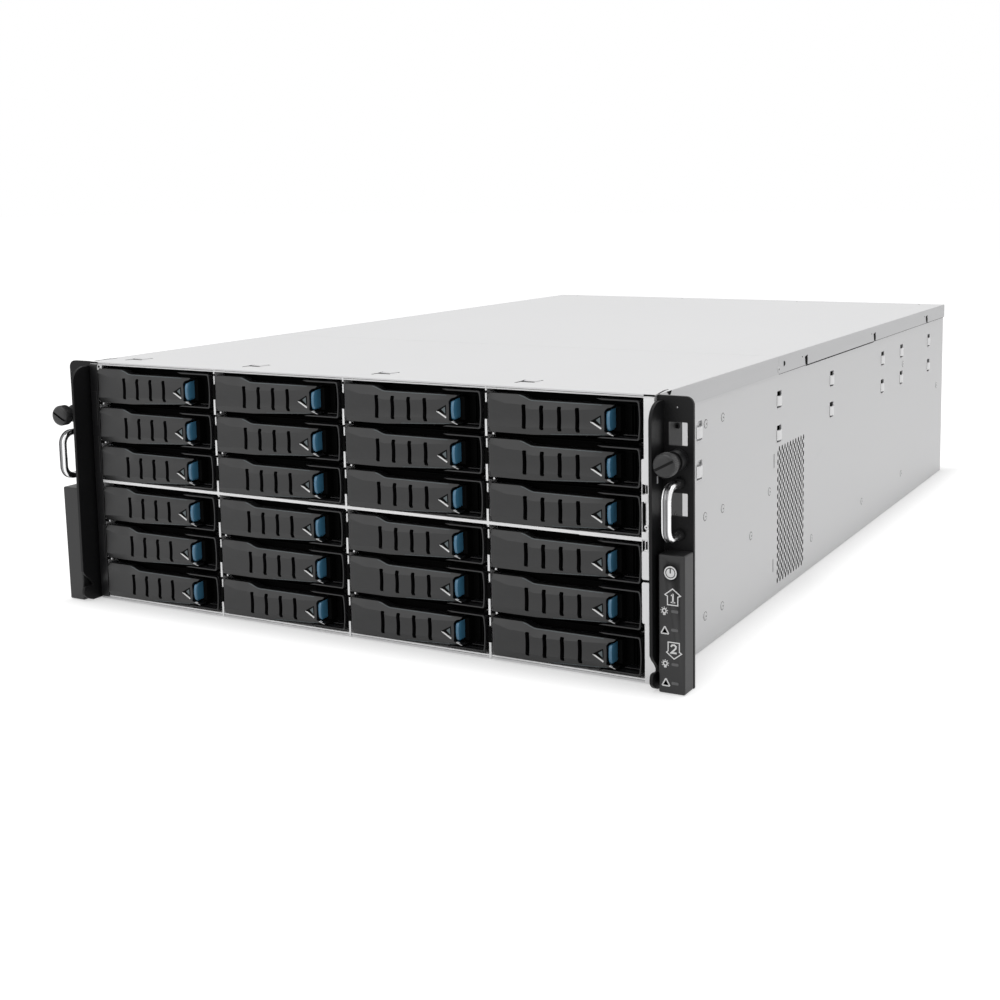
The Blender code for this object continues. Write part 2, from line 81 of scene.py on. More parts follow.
class Value:
    # one socket of a node tree; + - * / > < on it add Math nodes, with a plain number on either side
    def __init__(self, nodes, socket):
        self.nodes = nodes
        self.socket = socket

    def maths(self, operation, first, second):
        return self.nodes.add("Math", {"operation": operation}, {0: first, 1: second})

    def __add__(self, other):
        return self.maths("ADD", self, other)

    def __sub__(self, other):
        return self.maths("SUBTRACT", self, other)

    def __rsub__(self, other):
        return self.maths("SUBTRACT", other, self)

    def __mul__(self, other):
        return self.maths("MULTIPLY", self, other)

    def __truediv__(self, other):
        return self.maths("DIVIDE", self, other)

    def __gt__(self, other):
        return self.maths("GREATER_THAN", self, other)

    def __lt__(self, other):
        return self.maths("LESS_THAN", self, other)

    def __abs__(self):
        return self.nodes.add("Math", {"operation": "ABSOLUTE"}, {0: self})

    def orMore(self, other):
        return self.maths("MAXIMUM", self, other)

    __radd__ = __add__
    __rmul__ = __mul__


class Nodes:
    # the node tree of a material or of the world
    def __init__(self, tree):
        self.tree = tree
        for old in list(tree.nodes):
            tree.nodes.remove(old)

    def add(self, kind, settings=None, inputs=None, output=0):
        node = self.tree.nodes.new("ShaderNode" + kind)
        for key, value in (settings or {}).items():
            if key == "stops":
                ramp = node.color_ramp
                for stop, (place, shade) in enumerate(value):
                    mark = ramp.elements[stop] if stop < 2 else ramp.elements.new(place)
                    mark.position = place
                    mark.color = (shade, shade, shade, 1)
            else:
                setattr(node, key, value)
        for key, value in (inputs or {}).items():
            self.join(node.inputs[key], value)
        return Value(self, node.outputs[output])

    def join(self, socket, value):
        if isinstance(value, Value):
            self.tree.links.new(value.socket, socket)
        elif isinstance(value, tuple) and len(value) == 3 and socket.type == "RGBA":
            socket.default_value = (*value, 1)
        else:
            socket.default_value = value

    def along(self, axis):  # the spot on the surface, as one of its coordinates
        return self.add("SeparateXYZ", {}, {"Vector": self.add("TexCoord", {}, {}, "Object")}, axis)

    def place(self, stretch=(1, 1, 1)):
        spot = self.add("TexCoord", {}, {}, "Object")
        return self.add("Mapping", {}, {"Vector": spot, "Scale": stretch})

    def noise(self, scale, detail=2.0, stretch=(1, 1, 1), roughness=0.5):
        links = {"Vector": self.place(stretch), "Scale": scale, "Detail": detail, "Roughness": roughness}
        return self.add("TexNoise", {}, links)

    def ramp(self, value, *stops):
        return self.add("ValToRGB", {"stops": stops}, {"Fac": value})

    def blend(self, amount, first, second):
        return self.add("Mix", {"data_type": "RGBA"}, {0: amount, 6: first, 7: second}, 2)

    def bump(self, height, strength, distance):
        return self.add("Bump", {}, {"Height": height, "Strength": strength, "Distance": distance})


paints = {}


def paint(name, links, fixed):
    # links: a function from the nodes to what varies over the surface; fixed: sockets with one value all over
    material = bpy.data.materials.new(name)
    material.use_nodes = True
    nodes = Nodes(material.node_tree)
    surface = nodes.tree.nodes.new("ShaderNodeBsdfPrincipled")
    output = nodes.tree.nodes.new("ShaderNodeOutputMaterial")
    for key, value in {**fixed, **links(nodes)}.items():
        nodes.join(surface.inputs[key], value)
    nodes.tree.links.new(surface.outputs[0], output.inputs[0])
    material.diffuse_color = (0.5, 0.5, 0.5, 1)
    paints[name] = material


# finishes

evenly = (1, 1, 1)
drawn = (1, 1, 0.02)  # streaks along z
# clouds (scale, detail), dark and light colour, roughness (least, more by cloud, more by grain),
# grain (scale, detail, stretch, bump strength, bump depth), and sockets with one value all over
finishes = {
    "bright_zinc": ((30, 3), (0.86, 0.86, 0.865), (0.92, 0.92, 0.925), (0.3, 0, 0.12),
                    (600, 2, (1, 0.05, 1), 0.05, 0.0003), {"Metallic": 0.3}),  # cage and posts, and painted highlight on the side hooks
    "tray_plastic": ((40, 3), (0.004, 0.004, 0.0045), (0.008, 0.008, 0.009), (0.27, 0.1, 0),
                     (2600, 2, evenly, 0.08, 0.00015), {}),  # black plastic with a very fine grain
    "latch_blue": ((160, 3), (0.05, 0.185, 0.31), (0.07, 0.215, 0.35), (0.2, 0.08, 0),
                   (2400, 2, evenly, 0.08, 0.0002), {"Coat Weight": 0.3}),
    "powder_coat": ((24, 3), (0.004, 0.004, 0.0045), (0.008, 0.008, 0.0085), (0.42, 0, 0.12),
                    (900, 2, evenly, 0.25, 0.0003), {"Specular IOR Level": 0.2}),  # fine orange peel
    "polished_steel": ((60, 3), (0.78, 0.78, 0.79), (0.9, 0.9, 0.9), (0.1, 0.05, 0.1),
                       (1500, 2, drawn, 0.08, 0.0002), {"Metallic": 1.0}),
    "grooved_steel": ((60, 3), (0.2, 0.2, 0.205), (0.3, 0.3, 0.305), (0.2, 0, 0.15),
                      (1500, 2, drawn, 0.1, 0.0002), {"Metallic": 1.0}),  # darker grey, painted as the dark reflections in the grooves along the bows
    "blackened_steel": ((120, 4), (0.009, 0.009, 0.0095), (0.018, 0.018, 0.019), (0.34, 0.12, 0),
                        (1800, 2, evenly, 0.15, 0.0003), {}),
    "module_plastic": ((35, 3), (0.009, 0.009, 0.0095), (0.013, 0.013, 0.0135), (0.42, 0.08, 0),
                       (2000, 2, evenly, 0.12, 0.0002), {}),
    # white print, also used for painted highlights on the lever mark
    "white_print": ((900, 3), (0.86, 0.86, 0.86), (0.94, 0.94, 0.94), (0.45, 0.15, 0), None, {}),
    # grey lens colour, also used for painted highlight lines along the lever edges
    "grey_edge": ((700, 3), (0.085, 0.11, 0.12), (0.13, 0.16, 0.17), (0.3, 0.1, 0), None, {}),
    "smoked_lens": ((500, 3), (0.095, 0.095, 0.097), (0.135, 0.135, 0.138), (0.15, 0.1, 0), None, {}),
    "deep_black": ((80, 3), (0.002, 0.002, 0.002), (0.005, 0.005, 0.005), (0.6, 0.2, 0), None,
                   {"Specular IOR Level": 0.03}),  # near black: painted shade inside slots, ports, holes and gaps, and some black parts
    "cast_aluminium": ((20, 3), (0.5, 0.5, 0.51), (0.62, 0.62, 0.63), (0.34, 0, 0.16),
                       (500, 4, evenly, 0.2, 0.0004), {"Metallic": 0.8}),
    "gold_contact": ((300, 2), (0.75, 0.5, 0.18), (0.86, 0.62, 0.27), (0.22, 0.1, 0), None,
                     {"Metallic": 1.0}),
    "green_touch": ((200, 3), (0.03, 0.2, 0.09), (0.045, 0.26, 0.12), (0.32, 0.1, 0), None, {}),
}
steelLook = {"light": (0.72, 0.72, 0.724), "dark": (0.67, 0.67, 0.676), "scuffAndShade": (0.54, 0.54, 0.55),
             "flangeFrom": 0.2186, "flangeShade": 0.55, "topFrom": 0.1695}


def clouded(nodes, clouds, dark, light, rough, grain):
    cloud = nodes.noise(*clouds)
    least, byCloud, byGrain = rough
    links = {"Base Color": nodes.blend(cloud, dark, light), "Roughness": least + cloud * byCloud}
    if grain:
        scale, detail, stretch, strength, depth = grain
        fine = nodes.noise(scale, detail, stretch)
        links["Roughness"] = links["Roughness"] + fine * byGrain
        links["Normal"] = nodes.bump(fine, strength, depth)
    return links


def steelSheet(nodes):
    # zinc-coated sheet: soft cloudiness, rolling grain along the depth, a few rubbed places
    cloud = nodes.noise(7, 4, (1, 0.6, 1))
    grain = nodes.noise(420, 2, (1, 0.03, 1))
    rubbed = nodes.ramp(nodes.noise(26, 5, (1, 0.3, 1), 0.65), (0.66, 0), (0.8, 1))
    tone = nodes.blend(cloud * 0.6 + grain * 0.4, steelLook["dark"], steelLook["light"])
    return {"Base Color": nodes.blend(rubbed * 0.18, tone, steelLook["scuffAndShade"]),
            "Roughness": 0.36 + grain * 0.12 + cloud * 0.06,
            "Normal": nodes.bump(grain, 0.06, 0.0004)}


def cageZinc(nodes):
    # bright inside and in front, plain sheet on the top plate, and a little darker on its flanges as painted
    # shade of the slightly tilted band
    flange = abs(nodes.along("X")) > steelLook["flangeFrom"]
    top = (nodes.along("Z") > steelLook["topFrom"]).orMore(flange)
    bright, plain = clouded(nodes, *finishes["bright_zinc"][:-1]), steelSheet(nodes)
    skin = nodes.blend(flange * steelLook["flangeShade"], plain["Base Color"], steelLook["scuffAndShade"])
    return {"Base Color": nodes.blend(top, bright["Base Color"], skin),
            "Roughness": bright["Roughness"] * (1 - top) + plain["Roughness"] * top,
            "Normal": plain["Normal"]}


def leverPlastic(nodes):  # satin black grip face, with faint handling marks
    grain = nodes.noise(2200, 2)
    marks = nodes.ramp(nodes.noise(90, 5, (0.5, 1, 1.6), 0.6), (0.5, 0), (0.75, 1))
    return {"Base Color": nodes.blend(marks, (0.009, 0.009, 0.0095), (0.014, 0.014, 0.015)),
            "Roughness": 0.3 + marks * 0.12,
            "Normal": nodes.bump(grain, 0.1, 0.0002)}


def boardGreen(nodes):  # circuit boards of the drives
    cloud = nodes.noise(90, 3)
    inks = {"Color1": (0.01, 0.09, 0.05), "Color2": (0.014, 0.12, 0.07), "Mortar": (0.03, 0.17, 0.1)}
    tracks = nodes.add("TexBrick", {"offset": 0.5},
                       {"Vector": nodes.place((60, 200, 60)), "Scale": 6.0, **inks}, "Color")
    return {"Base Color": nodes.blend(cloud * 0.4, tracks, (0.01, 0.06, 0.035)),
            "Roughness": 0.35 + cloud * 0.15}


for name, look in finishes.items():
    paint(name, lambda nodes: clouded(nodes, *look[:-1]), look[-1])
paint("steel_sheet", steelSheet, {"Metallic": 0.35})
paint("cage_zinc", cageZinc, {"Metallic": 0.35})
paint("lever_plastic", leverPlastic, {})
paint("board_green", boardGreen, {})
print("stage: finishes", len(paints))


# shapes


def paintFaces(shape, before, index):
    for face in shape.faces:
        if face not in before:
            face.material_index = index


def addBox(shape, low, high, index=0):
    before = set(shape.faces)
    size = [high[i] - low[i] for i in range(3)]
    middle = [(high[i] + low[i]) / 2 for i in range(3)]
    made = bmesh.ops.create_cube(shape, size=1)["verts"]
    bmesh.ops.scale(shape, vec=size, verts=made)
    bmesh.ops.translate(shape, vec=middle, verts=made)
    paintFaces(shape, before, index)


def onAxis(axis, along, a, b):
    return {"X": (along, a, b), "Y": (a, along, b), "Z": (a, b, along)}[axis]


def addPlate(shape, outline, axis, start, end, holes=(), index=0):
    # a flat outline with holes, square to an axis, from start to end
    before = set(shape.faces)
    loops = [list(outline)] + [list(hole) for hole in holes]
    rings = []
    for loop in loops:
        near = [shape.verts.new(onAxis(axis, start, a, b)) for a, b in loop]
        far = [shape.verts.new(onAxis(axis, end, a, b)) for a, b in loop]
        rings.append((near, far))
        for i in range(len(loop)):
            j = (i + 1) % len(loop)
            shape.faces.new((near[i], near[j], far[j], far[i]))
    if holes:
        nearAll = [vert for near, far in rings for vert in near]
        farAll = [vert for near, far in rings for vert in far]
        for corners in tessellate_polygon([[Vector((a, b, 0)) for a, b in loop] for loop in loops]):
            if len(set(corners)) == 3:
                shape.faces.new([nearAll[i] for i in corners])
                shape.faces.new([farAll[i] for i in corners])
    else:
        shape.faces.new(rings[0][0])
        shape.faces.new(rings[0][1])
    paintFaces(shape, before, index)


def addTurned(shape, profile, centre, axis="Y", steps=32, index=0, ridges=0, ridgeDepth=0.0):
    # pairs of radius and place along the axis, turned about it; ridges knurl the rim
    before = set(shape.faces)
    rings = []
    for radius, along in profile:
        ring = []
        for step in range(steps):
            angle = 2 * math.pi * step / steps
            r = radius - (ridgeDepth if ridges and step % 2 else 0)
            a, b = r * math.cos(angle), r * math.sin(angle)
            spot = Vector(onAxis(axis, along, a, b)) + Vector(centre)
            ring.append(shape.verts.new(spot))
        rings.append(ring)
    for near, far in zip(rings, rings[1:]):
        for step in range(steps):
            after = (step + 1) % steps
            shape.faces.new((near[step], near[after], far[after], far[step]))
    shape.faces.new(rings[0])
    shape.faces.new(rings[-1])
    paintFaces(shape, before, index)


def addTube(shape, outer, inner, start, end, centre, axis="Y", steps=32, index=0):
    i, j = {"X": (1, 2), "Y": (0, 2), "Z": (0, 1)}[axis]
    middle = (centre[i], centre[j])
    addPlate(shape, circle(middle, outer, steps), axis, start, end, [circle(middle, inner, steps)], index)


def addGrid(shape, rows, back, index=0):
    # a curved front face of rows of points, closed to a flat back at depth back
    before = set(shape.faces)
    near = [[shape.verts.new(point) for point in row] for row in rows]
    far = [[shape.verts.new((point[0], back, point[2])) for point in row] for row in rows]
    last, end = len(rows) - 1, len(rows[0]) - 1
    for i in range(last):
        for j in range(end):
            shape.faces.new((near[i][j], near[i][j + 1], near[i + 1][j + 1], near[i + 1][j]))
            shape.faces.new((far[i][j], far[i + 1][j], far[i + 1][j + 1], far[i][j + 1]))
    for j in range(end):
        shape.faces.new((near[0][j], far[0][j], far[0][j + 1], near[0][j + 1]))
        shape.faces.new((near[last][j], near[last][j + 1], far[last][j + 1], far[last][j]))
    for i in range(last):
        shape.faces.new((near[i][0], near[i + 1][0], far[i + 1][0], far[i][0]))
        shape.faces.new((near[i][end], far[i][end], far[i + 1][end], near[i + 1][end]))
    paintFaces(shape, before, index)


def addSweep(shape, path, across, section, second=()):
    # a closed section of (across, outward) pairs along a path; the sides in second get the second finish
    rings = []
    for i, point in enumerate(path):
        ahead = (path[min(i + 1, len(path) - 1)] - path[max(i - 1, 0)]).normalized()
        side = ahead.cross(across).normalized()
        rings.append([shape.verts.new(point + across * a + side * b) for a, b in section])
    for near, far in zip(rings, rings[1:]):
        for s in range(len(section)):
            t = (s + 1) % len(section)
            shape.faces.new((near[s], near[t], far[t], far[s])).material_index = int(s in second)
    shape.faces.new(rings[0])
    shape.faces.new(rings[-1])


def rectangle(left, low, right, high):
    return [(left, low), (right, low), (right, high), (left, high)]


def onSide(side, a, b):  # two distances from the middle, on its left or right, the lower first
    return sorted((side * a, side * b))


def roundedBox(low, high, radius, steps=4):  # a flat outline with round corners
    points = []
    for cx, cy, start in ((high[0] - radius, high[1] - radius, 0), (low[0] + radius, high[1] - radius, 90),
                          (low[0] + radius, low[1] + radius, 180), (high[0] - radius, low[1] + radius, 270)):
        for step in range(steps + 1):
            angle = math.radians(start + 90 * step / steps)
            points.append((cx + radius * math.cos(angle), cy + radius * math.sin(angle)))
    return points


def circle(centre, radius, steps=24):
    return [(centre[0] + radius * math.cos(2 * math.pi * s / steps),
             centre[1] + radius * math.sin(2 * math.pi * s / steps)) for s in range(steps)]


def smoothLine(points, steps=5):  # a round curve through points
    made = []
    for i in range(len(points) - 1):
        p0, p1 = Vector(points[max(i - 1, 0)]), Vector(points[i])
        p2, p3 = Vector(points[i + 1]), Vector(points[min(i + 2, len(points) - 1)])
        for step in range(steps):
            t = step / steps
            made.append(tuple(0.5 * (2 * p1 + (p2 - p0) * t + (2 * p0 - 5 * p1 + 4 * p2 - p3) * t * t
                                     + (3 * p1 - p0 - 3 * p2 + p3) * t ** 3)))
    return made + [tuple(points[-1])]


def sideOffsets(points, half, closed):  # points pushed to one side of a line
    made = []
    count = len(points)
    for i in range(count):
        here = Vector(points[i])
        before = Vector(points[i - 1]) if closed or i else None
        after = Vector(points[(i + 1) % count]) if closed or i < count - 1 else None
        normals = []
        for a, b in ((before, here), (here, after)):
            if a is not None and b is not None:
                run = (b - a).normalized()
                normals.append(Vector((-run.y, run.x)))
        push = sum(normals, Vector((0, 0))).normalized()
        made.append(tuple(here + push * half / max(push.dot(normals[0]), 0.35)))
    return made


def loopArea(loop):
    pairs = zip(loop, loop[1:] + loop[:1])
    return abs(sum(a[0] * b[1] - b[0] * a[1] for a, b in pairs))


def addStroke(shape, points, width, axis, start, end, closed=False, index=0):
    outer = sideOffsets(points, width / 2, closed)
    inner = sideOffsets(points, -width / 2, closed)
    if not closed:
        addPlate(shape, outer + inner[::-1], axis, start, end, (), index)
    elif loopArea(outer) < loopArea(inner):
        addPlate(shape, inner, axis, start, end, [outer], index)
    else:
        addPlate(shape, outer, axis, start, end, [inner], index)


def meshOf(name, shape, finishNames, smooth=30):
    bmesh.ops.recalc_face_normals(shape, faces=shape.faces)
    bmesh.ops.scale(shape, vec=(mm, mm, mm), verts=shape.verts)
    mesh = bpy.data.meshes.new(name)
    shape.to_mesh(mesh)
    shape.free()
    for finish in finishNames:
        mesh.materials.append(paints[finish])
    mesh.shade_smooth()
    mesh.set_sharp_from_angle(angle=math.radians(smooth))
    return mesh


def placed(name, mesh, x=0.0, z=0.0, y=0.0):
    piece = bpy.data.objects.new(name, mesh)
    bpy.context.scene.collection.objects.link(piece)
    piece.location = (x * mm, frontY + y * mm, z * mm)
    return piece


def soften(piece, width, segments=2, angle=40):  # small round edges that catch the light
    edge = piece.modifiers.new("edges", "BEVEL")
    edge.width = width * mm
    edge.segments = segments
    edge.limit_method = "ANGLE"
    edge.angle_limit = math.radians(angle)
    edge.use_clamp_overlap = True
    edge.harden_normals = True


def cut(piece, shape):  # take a shape out of a piece
    tool = placed("cutter", meshOf("cutter", shape, []), piece.location.x / mm, piece.location.z / mm)
    tool.location = piece.location
    step = piece.modifiers.new("cut", "BOOLEAN")
    step.operation = "DIFFERENCE"
    step.solver = "EXACT"
    step.object = tool
    return tool


def finished(piece, *tools):  # the mesh with its modifiers applied; the piece and its cutters go
    view = bpy.context.evaluated_depsgraph_get()
    mesh = bpy.data.meshes.new_from_object(piece.evaluated_get(view))
    mesh.name = piece.name
    for used in (piece, *tools):
        bpy.data.objects.remove(used)
    return mesh


def softened(name, shape, finishNames, width, segments=2, angle=40, smooth=30):
    piece = placed(name, meshOf(name, shape, finishNames, smooth))
    soften(piece, width, segments, angle)
    return finished(piece)


def keep(piece, rider, slot, *nodes):
    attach(piece, rider)
    if nodes:
        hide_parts(*nodes)
    return piece


# drive levers

lever = {
    "left": -50.7, "mouth": 28.1, "horn": 34.1, "low": 0.6, "high": 24.4, "shoulder": 21.6,
    "bendStart": -29.6, "bendEnd": -19.7, "hornLow": 3.55, "face": -3.0, "edge": -1.3, "hollow": 0.45,
    "back": 5.0, "topFacet": ((-50.7, 2.6), (-38, 5.6), (-24, 5.7), (0, 4.7), (34.1, 2.2)),
    "lowFacet": ((-50.7, 3.4), (-24, 4.6), (10, 4.4), (34.1, 2.6)),
    "slots": (-25.5, -13.6, -1.6, 10.4), "slotWidth": 2.7, "slotLow": 3.9, "slotHigh": 18.7,
    "latchLow": 5.7, "latchHigh": 19.8, "endRound": 1.6, "cutDepth": (-8, 9),
}
# the lower stroke, the glint dash and the edge lines are painted highlights, the upper stroke painted shade
mark = {
    "tip": (19.1, 11.2), "upper": (25.9, 15.0), "lower": (26.2, 7.4), "thin": 0.5, "thick": 0.95,
    "glintDash": ((29.6, 5.1), (33.1, 3.4)), "dashWidth": 0.6, "proud": 0.12, "edgeHighlightWidth": 0.3,
    "window": ((22.7, 12.3), (25.6, 9.8), (25.4, 14.1)),
    "topEdgeHighlight": (-29.0, -26.5, -24.0, -21.5, -19.0, -6.0, 8.0, 26.0), "lowEdgeHighlight": (-8.0, 6.0, 16.0, 28.0),
}


def between(table, x):  # a value read off a table of (x, value)
    for (a, va), (b, vb) in zip(table, table[1:]):
        if x <= b:
            return va + (vb - va) * max(0.0, min(1.0, (x - a) / (b - a)))
    return table[-1][1]


def leverTop(x):
    t = max(0.0, min(1.0, (x - lever["bendStart"]) / (lever["bendEnd"] - lever["bendStart"])))
    return lever["high"] - (lever["high"] - lever["shoulder"]) * t * t * (3 - 2 * t)


def leverLow(x):
    rise = max(0.0, (x - lever["bendEnd"]) / (lever["horn"] - lever["bendEnd"]))
    return lever["low"] + (lever["hornLow"] - lever["low"]) * rise


def leverFront(x, z):  # depth of the lever's face
    low, high = leverLow(x), leverTop(x)
    lowFacet, topFacet = low + between(lever["lowFacet"], x), high - between(lever["topFacet"], x)
    if z < lowFacet:
        y = lever["face"] + (lever["edge"] - lever["face"]) * (lowFacet - z) / (lowFacet - low)
    elif z > topFacet:
        y = lever["face"] + (lever["edge"] - lever["face"]) * (z - topFacet) / (high - topFacet)
    else:
        s = 2 * (z - lowFacet) / (topFacet - lowFacet) - 1
        y = lever["face"] + lever["hollow"] * (1 - s * s)
    reach = lever["endRound"]
    inset = max(0.0, 1 - (x - lever["left"]) / reach)
    return y + reach * (1 - math.sqrt(max(0.0, 1 - inset * inset))) * 0.9


def leverMesh():
    shape = bmesh.new()
    stations = [lever["left"] + v for v in (0, 0.15, 0.6, 1.3, 2.3, 3.6, 5.0, 7.5, 10, 12.5, 15, 17)]
    stations += [lever["bendStart"] + v for v in (0, 1.5, 3, 4.5, 6, 7.5, 9, 9.9)]
    stations += [-17, -12, -6, 0, 6, 12, 18, 24, 28.6, 31, 34.1]
    rows = []
    for x in stations:
        low, high = leverLow(x), leverTop(x)
        a, b = low + between(lever["lowFacet"], x), high - between(lever["topFacet"], x)
        heights = [low + (a - low) * s for s in (0, 0.5)]
        heights += [a + (b - a) * s for s in (0, 0.15, 0.35, 0.5, 0.65, 0.85, 1)]
        heights += [b + (high - b) * s for s in (0.5, 1)]
        rows.append([(x, leverFront(x, z), z) for z in heights])
    addGrid(shape, rows, lever["back"])
    piece = placed("lever_form", meshOf("lever_form", shape, ["lever_plastic"], 16))
    holes = bmesh.new()
    near, far = lever["cutDepth"]
    half = lever["slotWidth"] / 2
    for x in lever["slots"]:
        slot = roundedBox((x - half, lever["slotLow"]), (x + half, lever["slotHigh"]), 0.7, 3)
        addPlate(holes, slot, "Y", near, far)
    horn, shoulder, mouth, top = lever["horn"], lever["shoulder"], lever["mouth"], lever["latchHigh"]
    opening = [(mouth, lever["latchLow"]), (horn + 2, lever["hornLow"] - 0.6), (horn + 2, shoulder + 0.6),
               (horn - 0.4, shoulder + 0.6), (horn - 0.7, shoulder - 0.5)]
    opening += smoothLine([(horn - 1.6, shoulder - 1.3), (horn - 3.2, top + 0.1), (horn - 4.6, top - 0.6),
                           (mouth, top - 2.4)], 3)
    addPlate(holes, opening, "Y", near, far)
    tool = cut(piece, holes)
    soften(piece, 0.22, 2, 35)
    return finished(piece, tool)


def ribbon(shape, start, end, width, index):  # a thin raised bar that follows the lever's face
    a, b = Vector(start), Vector(end)
    run = (b - a).normalized()
    side = Vector((-run.y, run.x)) * width / 2
    rows = []
    for share in (0, 0.25, 0.5, 0.75, 1):
        spots = [a + (b - a) * share + side * k for k in (-1, 0, 1)]
        rows.append([(spot.x, leverFront(spot.x, spot.y) - mark["proud"], spot.y) for spot in spots])
    addGrid(shape, rows, -0.6, index)


def markMesh():  # a dark triangular light window with a grey lens; painted highlights: the white lower stroke, a white glint dash on the horn's lower edge and light lines along the lever's edges
    shape = bmesh.new()
    # painted highlights: light lines along the top and lower edges of the lever
    for edge, outline, inset in ((mark["topEdgeHighlight"], leverTop, -0.45), (mark["lowEdgeHighlight"], leverLow, 0.5)):
        for a, b in zip(edge, edge[1:]):
            ribbon(shape, (a, outline(a) + inset), (b, outline(b) + inset), mark["edgeHighlightWidth"], 1)
    # painted shade on the dark upper stroke, painted highlight on the white lower stroke and the glint dash
    ribbon(shape, mark["tip"], mark["upper"], mark["thin"], 2)
    ribbon(shape, mark["tip"], mark["lower"], mark["thick"], 0)
    ribbon(shape, *mark["glintDash"], mark["dashWidth"], 0)
    addPlate(shape, [mark["tip"], mark["upper"], mark["lower"]], "Y", -2.7, -1.5, (), 2)
    addPlate(shape, mark["window"], "Y", -2.85, -1.5, (), 1)
    return meshOf("window_mark", shape, ["white_print", "grey_edge", "deep_black"])


# drive carriers

tray = {
    "half": 52.3, "front": 9.9, "low": 0.3, "high": 26.45, "face": -2.0, "rimLeft": 22.6, "rimRight": 50.7,
    "rimLow": 1.7, "rimHigh": 25.0, "rimWall": 0.8, "bulge": 0.7, "nose": 24.0, "back": 196.0,
    "rail": 1.2, "drive": (30.0, 177.0), "driveHalf": 50.7, "driveLow": 1.7, "driveHigh": 25.8,
}
latch = {"left": 28.8, "right": 32.6, "low": 6.0, "high": 19.2, "face": -3.0, "leftFacet": 1.2,
         "rightFacet": 0.9, "crown": 1.5}


def rimOutline(inset):  # the bulging right side of the rim
    right, low, high = tray["rimRight"] - inset, tray["rimLow"] + inset, tray["rimHigh"] - inset
    middle, half = (low + high) / 2, (high - low) / 2
    shares = [1 - 2 * step / 12 for step in range(13)]
    return [(right - tray["bulge"] * s * s, middle + s * (half - 0.8)) for s in shares]


def trayMesh():
    shape = bmesh.new()
    half, front, nose, back = tray["half"], tray["front"], tray["nose"], tray["back"]
    seat = front + 0.5

    def block(left, near, low, right, high, index=0):  # a small piece that stands out of the nose block
        addBox(shape, (left, near, low), (right, seat, high), index)

    # nose block behind the lever, with a ribbed recess for the finger; its front, the ribs and the latch
    # housing are near black, painted shade
    addPlate(shape, rectangle(-half, tray["low"], half, tray["high"]), "Y", front, nose, (), 2)
    outer, inner = rimOutline(0), rimOutline(tray["rimWall"])
    left, low, high, wall = tray["rimLeft"], tray["rimLow"], tray["rimHigh"], tray["rimWall"]
    rim = [(left, high), (outer[0][0] - 0.8, high), *outer, (outer[-1][0] - 0.8, low), (left, low),
           (left + 3.5, low + wall), (inner[-1][0] - 0.8, low + wall), *inner[::-1],
           (inner[0][0] - 0.8, high - wall), (left + 3.5, high - wall)]
    addPlate(shape, rim, "Y", tray["face"], seat)
    for i in range(5):  # fine upright ribs of the grille
        x = 40.6 + i * 1.9
        block(x, 7.6, 4.2, x + 0.45, 20.6, 2)
    block(38.6, 7.6, 20.6, 49.0, 21.4, 2)
    block(37.2, 4.0, 3.25, 49.6, 3.75)
    block(28.9, 3.4, 5.6, 35.6, 20.2, 2)  # latch housing
    block(-50.5, 6.2, 24.9, 22, 25.5, 2)  # lips above and below the lever, near black as painted shade, with a row of small catches
    block(-30, 5.4, 0.9, 23, 1.5, 2)
    for i in range(9):
        block(-24 + i * 4.6, 3.4, 0.9, -23.4 + i * 4.6, 1.2)
    for x in (-49.6, -47.4):  # hinge lugs
        block(x, 1.5, 1.6, x + 1.2, 4.4)
    # side rails and floor of the sled
    for side in (-1, 1):
        low, high = onSide(side, half, half - tray["rail"])
        holes = [circle((y, 13.4), 1.7, 16) for y in (52, 93, 154)]
        holes += [roundedBox((70, 18), (84, 22), 1.5), roundedBox((108, 18), (140, 22), 1.5),
                  roundedBox((108, 4.5), (140, 8.5), 1.5)]
        rail = [(nose, 0.3), (back, 0.3), (back, 12), (back - 6, 18), (176, 25.4), (nose, 25.4)]
        addPlate(shape, rail, "X", low, high, holes, 1)
    floor = [(-51, nose), (51, nose), (51, 186), (36, 196), (-36, 196), (-51, 186)]
    holes = [roundedBox((-38, 44), (38, 96), 4), roundedBox((-38, 108), (38, 168), 4)]
    addPlate(shape, floor, "Z", 0.3, 1.4, holes, 1)
    return softened("tray_form", shape, ["tray_plastic", "steel_sheet", "deep_black"], 0.16)


def latchMesh():
    shape = bmesh.new()
    left, right, low, high = latch["left"], latch["right"], latch["low"], latch["high"]
    places = (left, left + 0.4, left + latch["leftFacet"], 31.4, right - latch["rightFacet"],
              right - 0.4, right)
    shares = [2 * step / 12 - 1 for step in range(13)]
    rows = []
    for x, push in zip(places, (1.9, 0.75, 0.05, 0.0, 0.1, 1.1, 2.4)):
        row = []
        for s in shares:
            y = latch["face"] + push + latch["crown"] * abs(s) ** 2.4 + 0.9 * max(0, abs(s) - 0.86) * 6
            z = (low + high) / 2 + s * (high - low) / 2
            # the top slopes down to the left, the foot up to the right
            z -= max(0, s) ** 6 * (right - x) * 0.55
            z += max(0, -s) ** 6 * max(0, x - 31.0) * 0.9
            row.append((x, y, z))
        rows.append(row)
    addGrid(shape, rows, tray["front"] - 0.6)
    return meshOf("latch_form", shape, ["latch_blue"], 38)


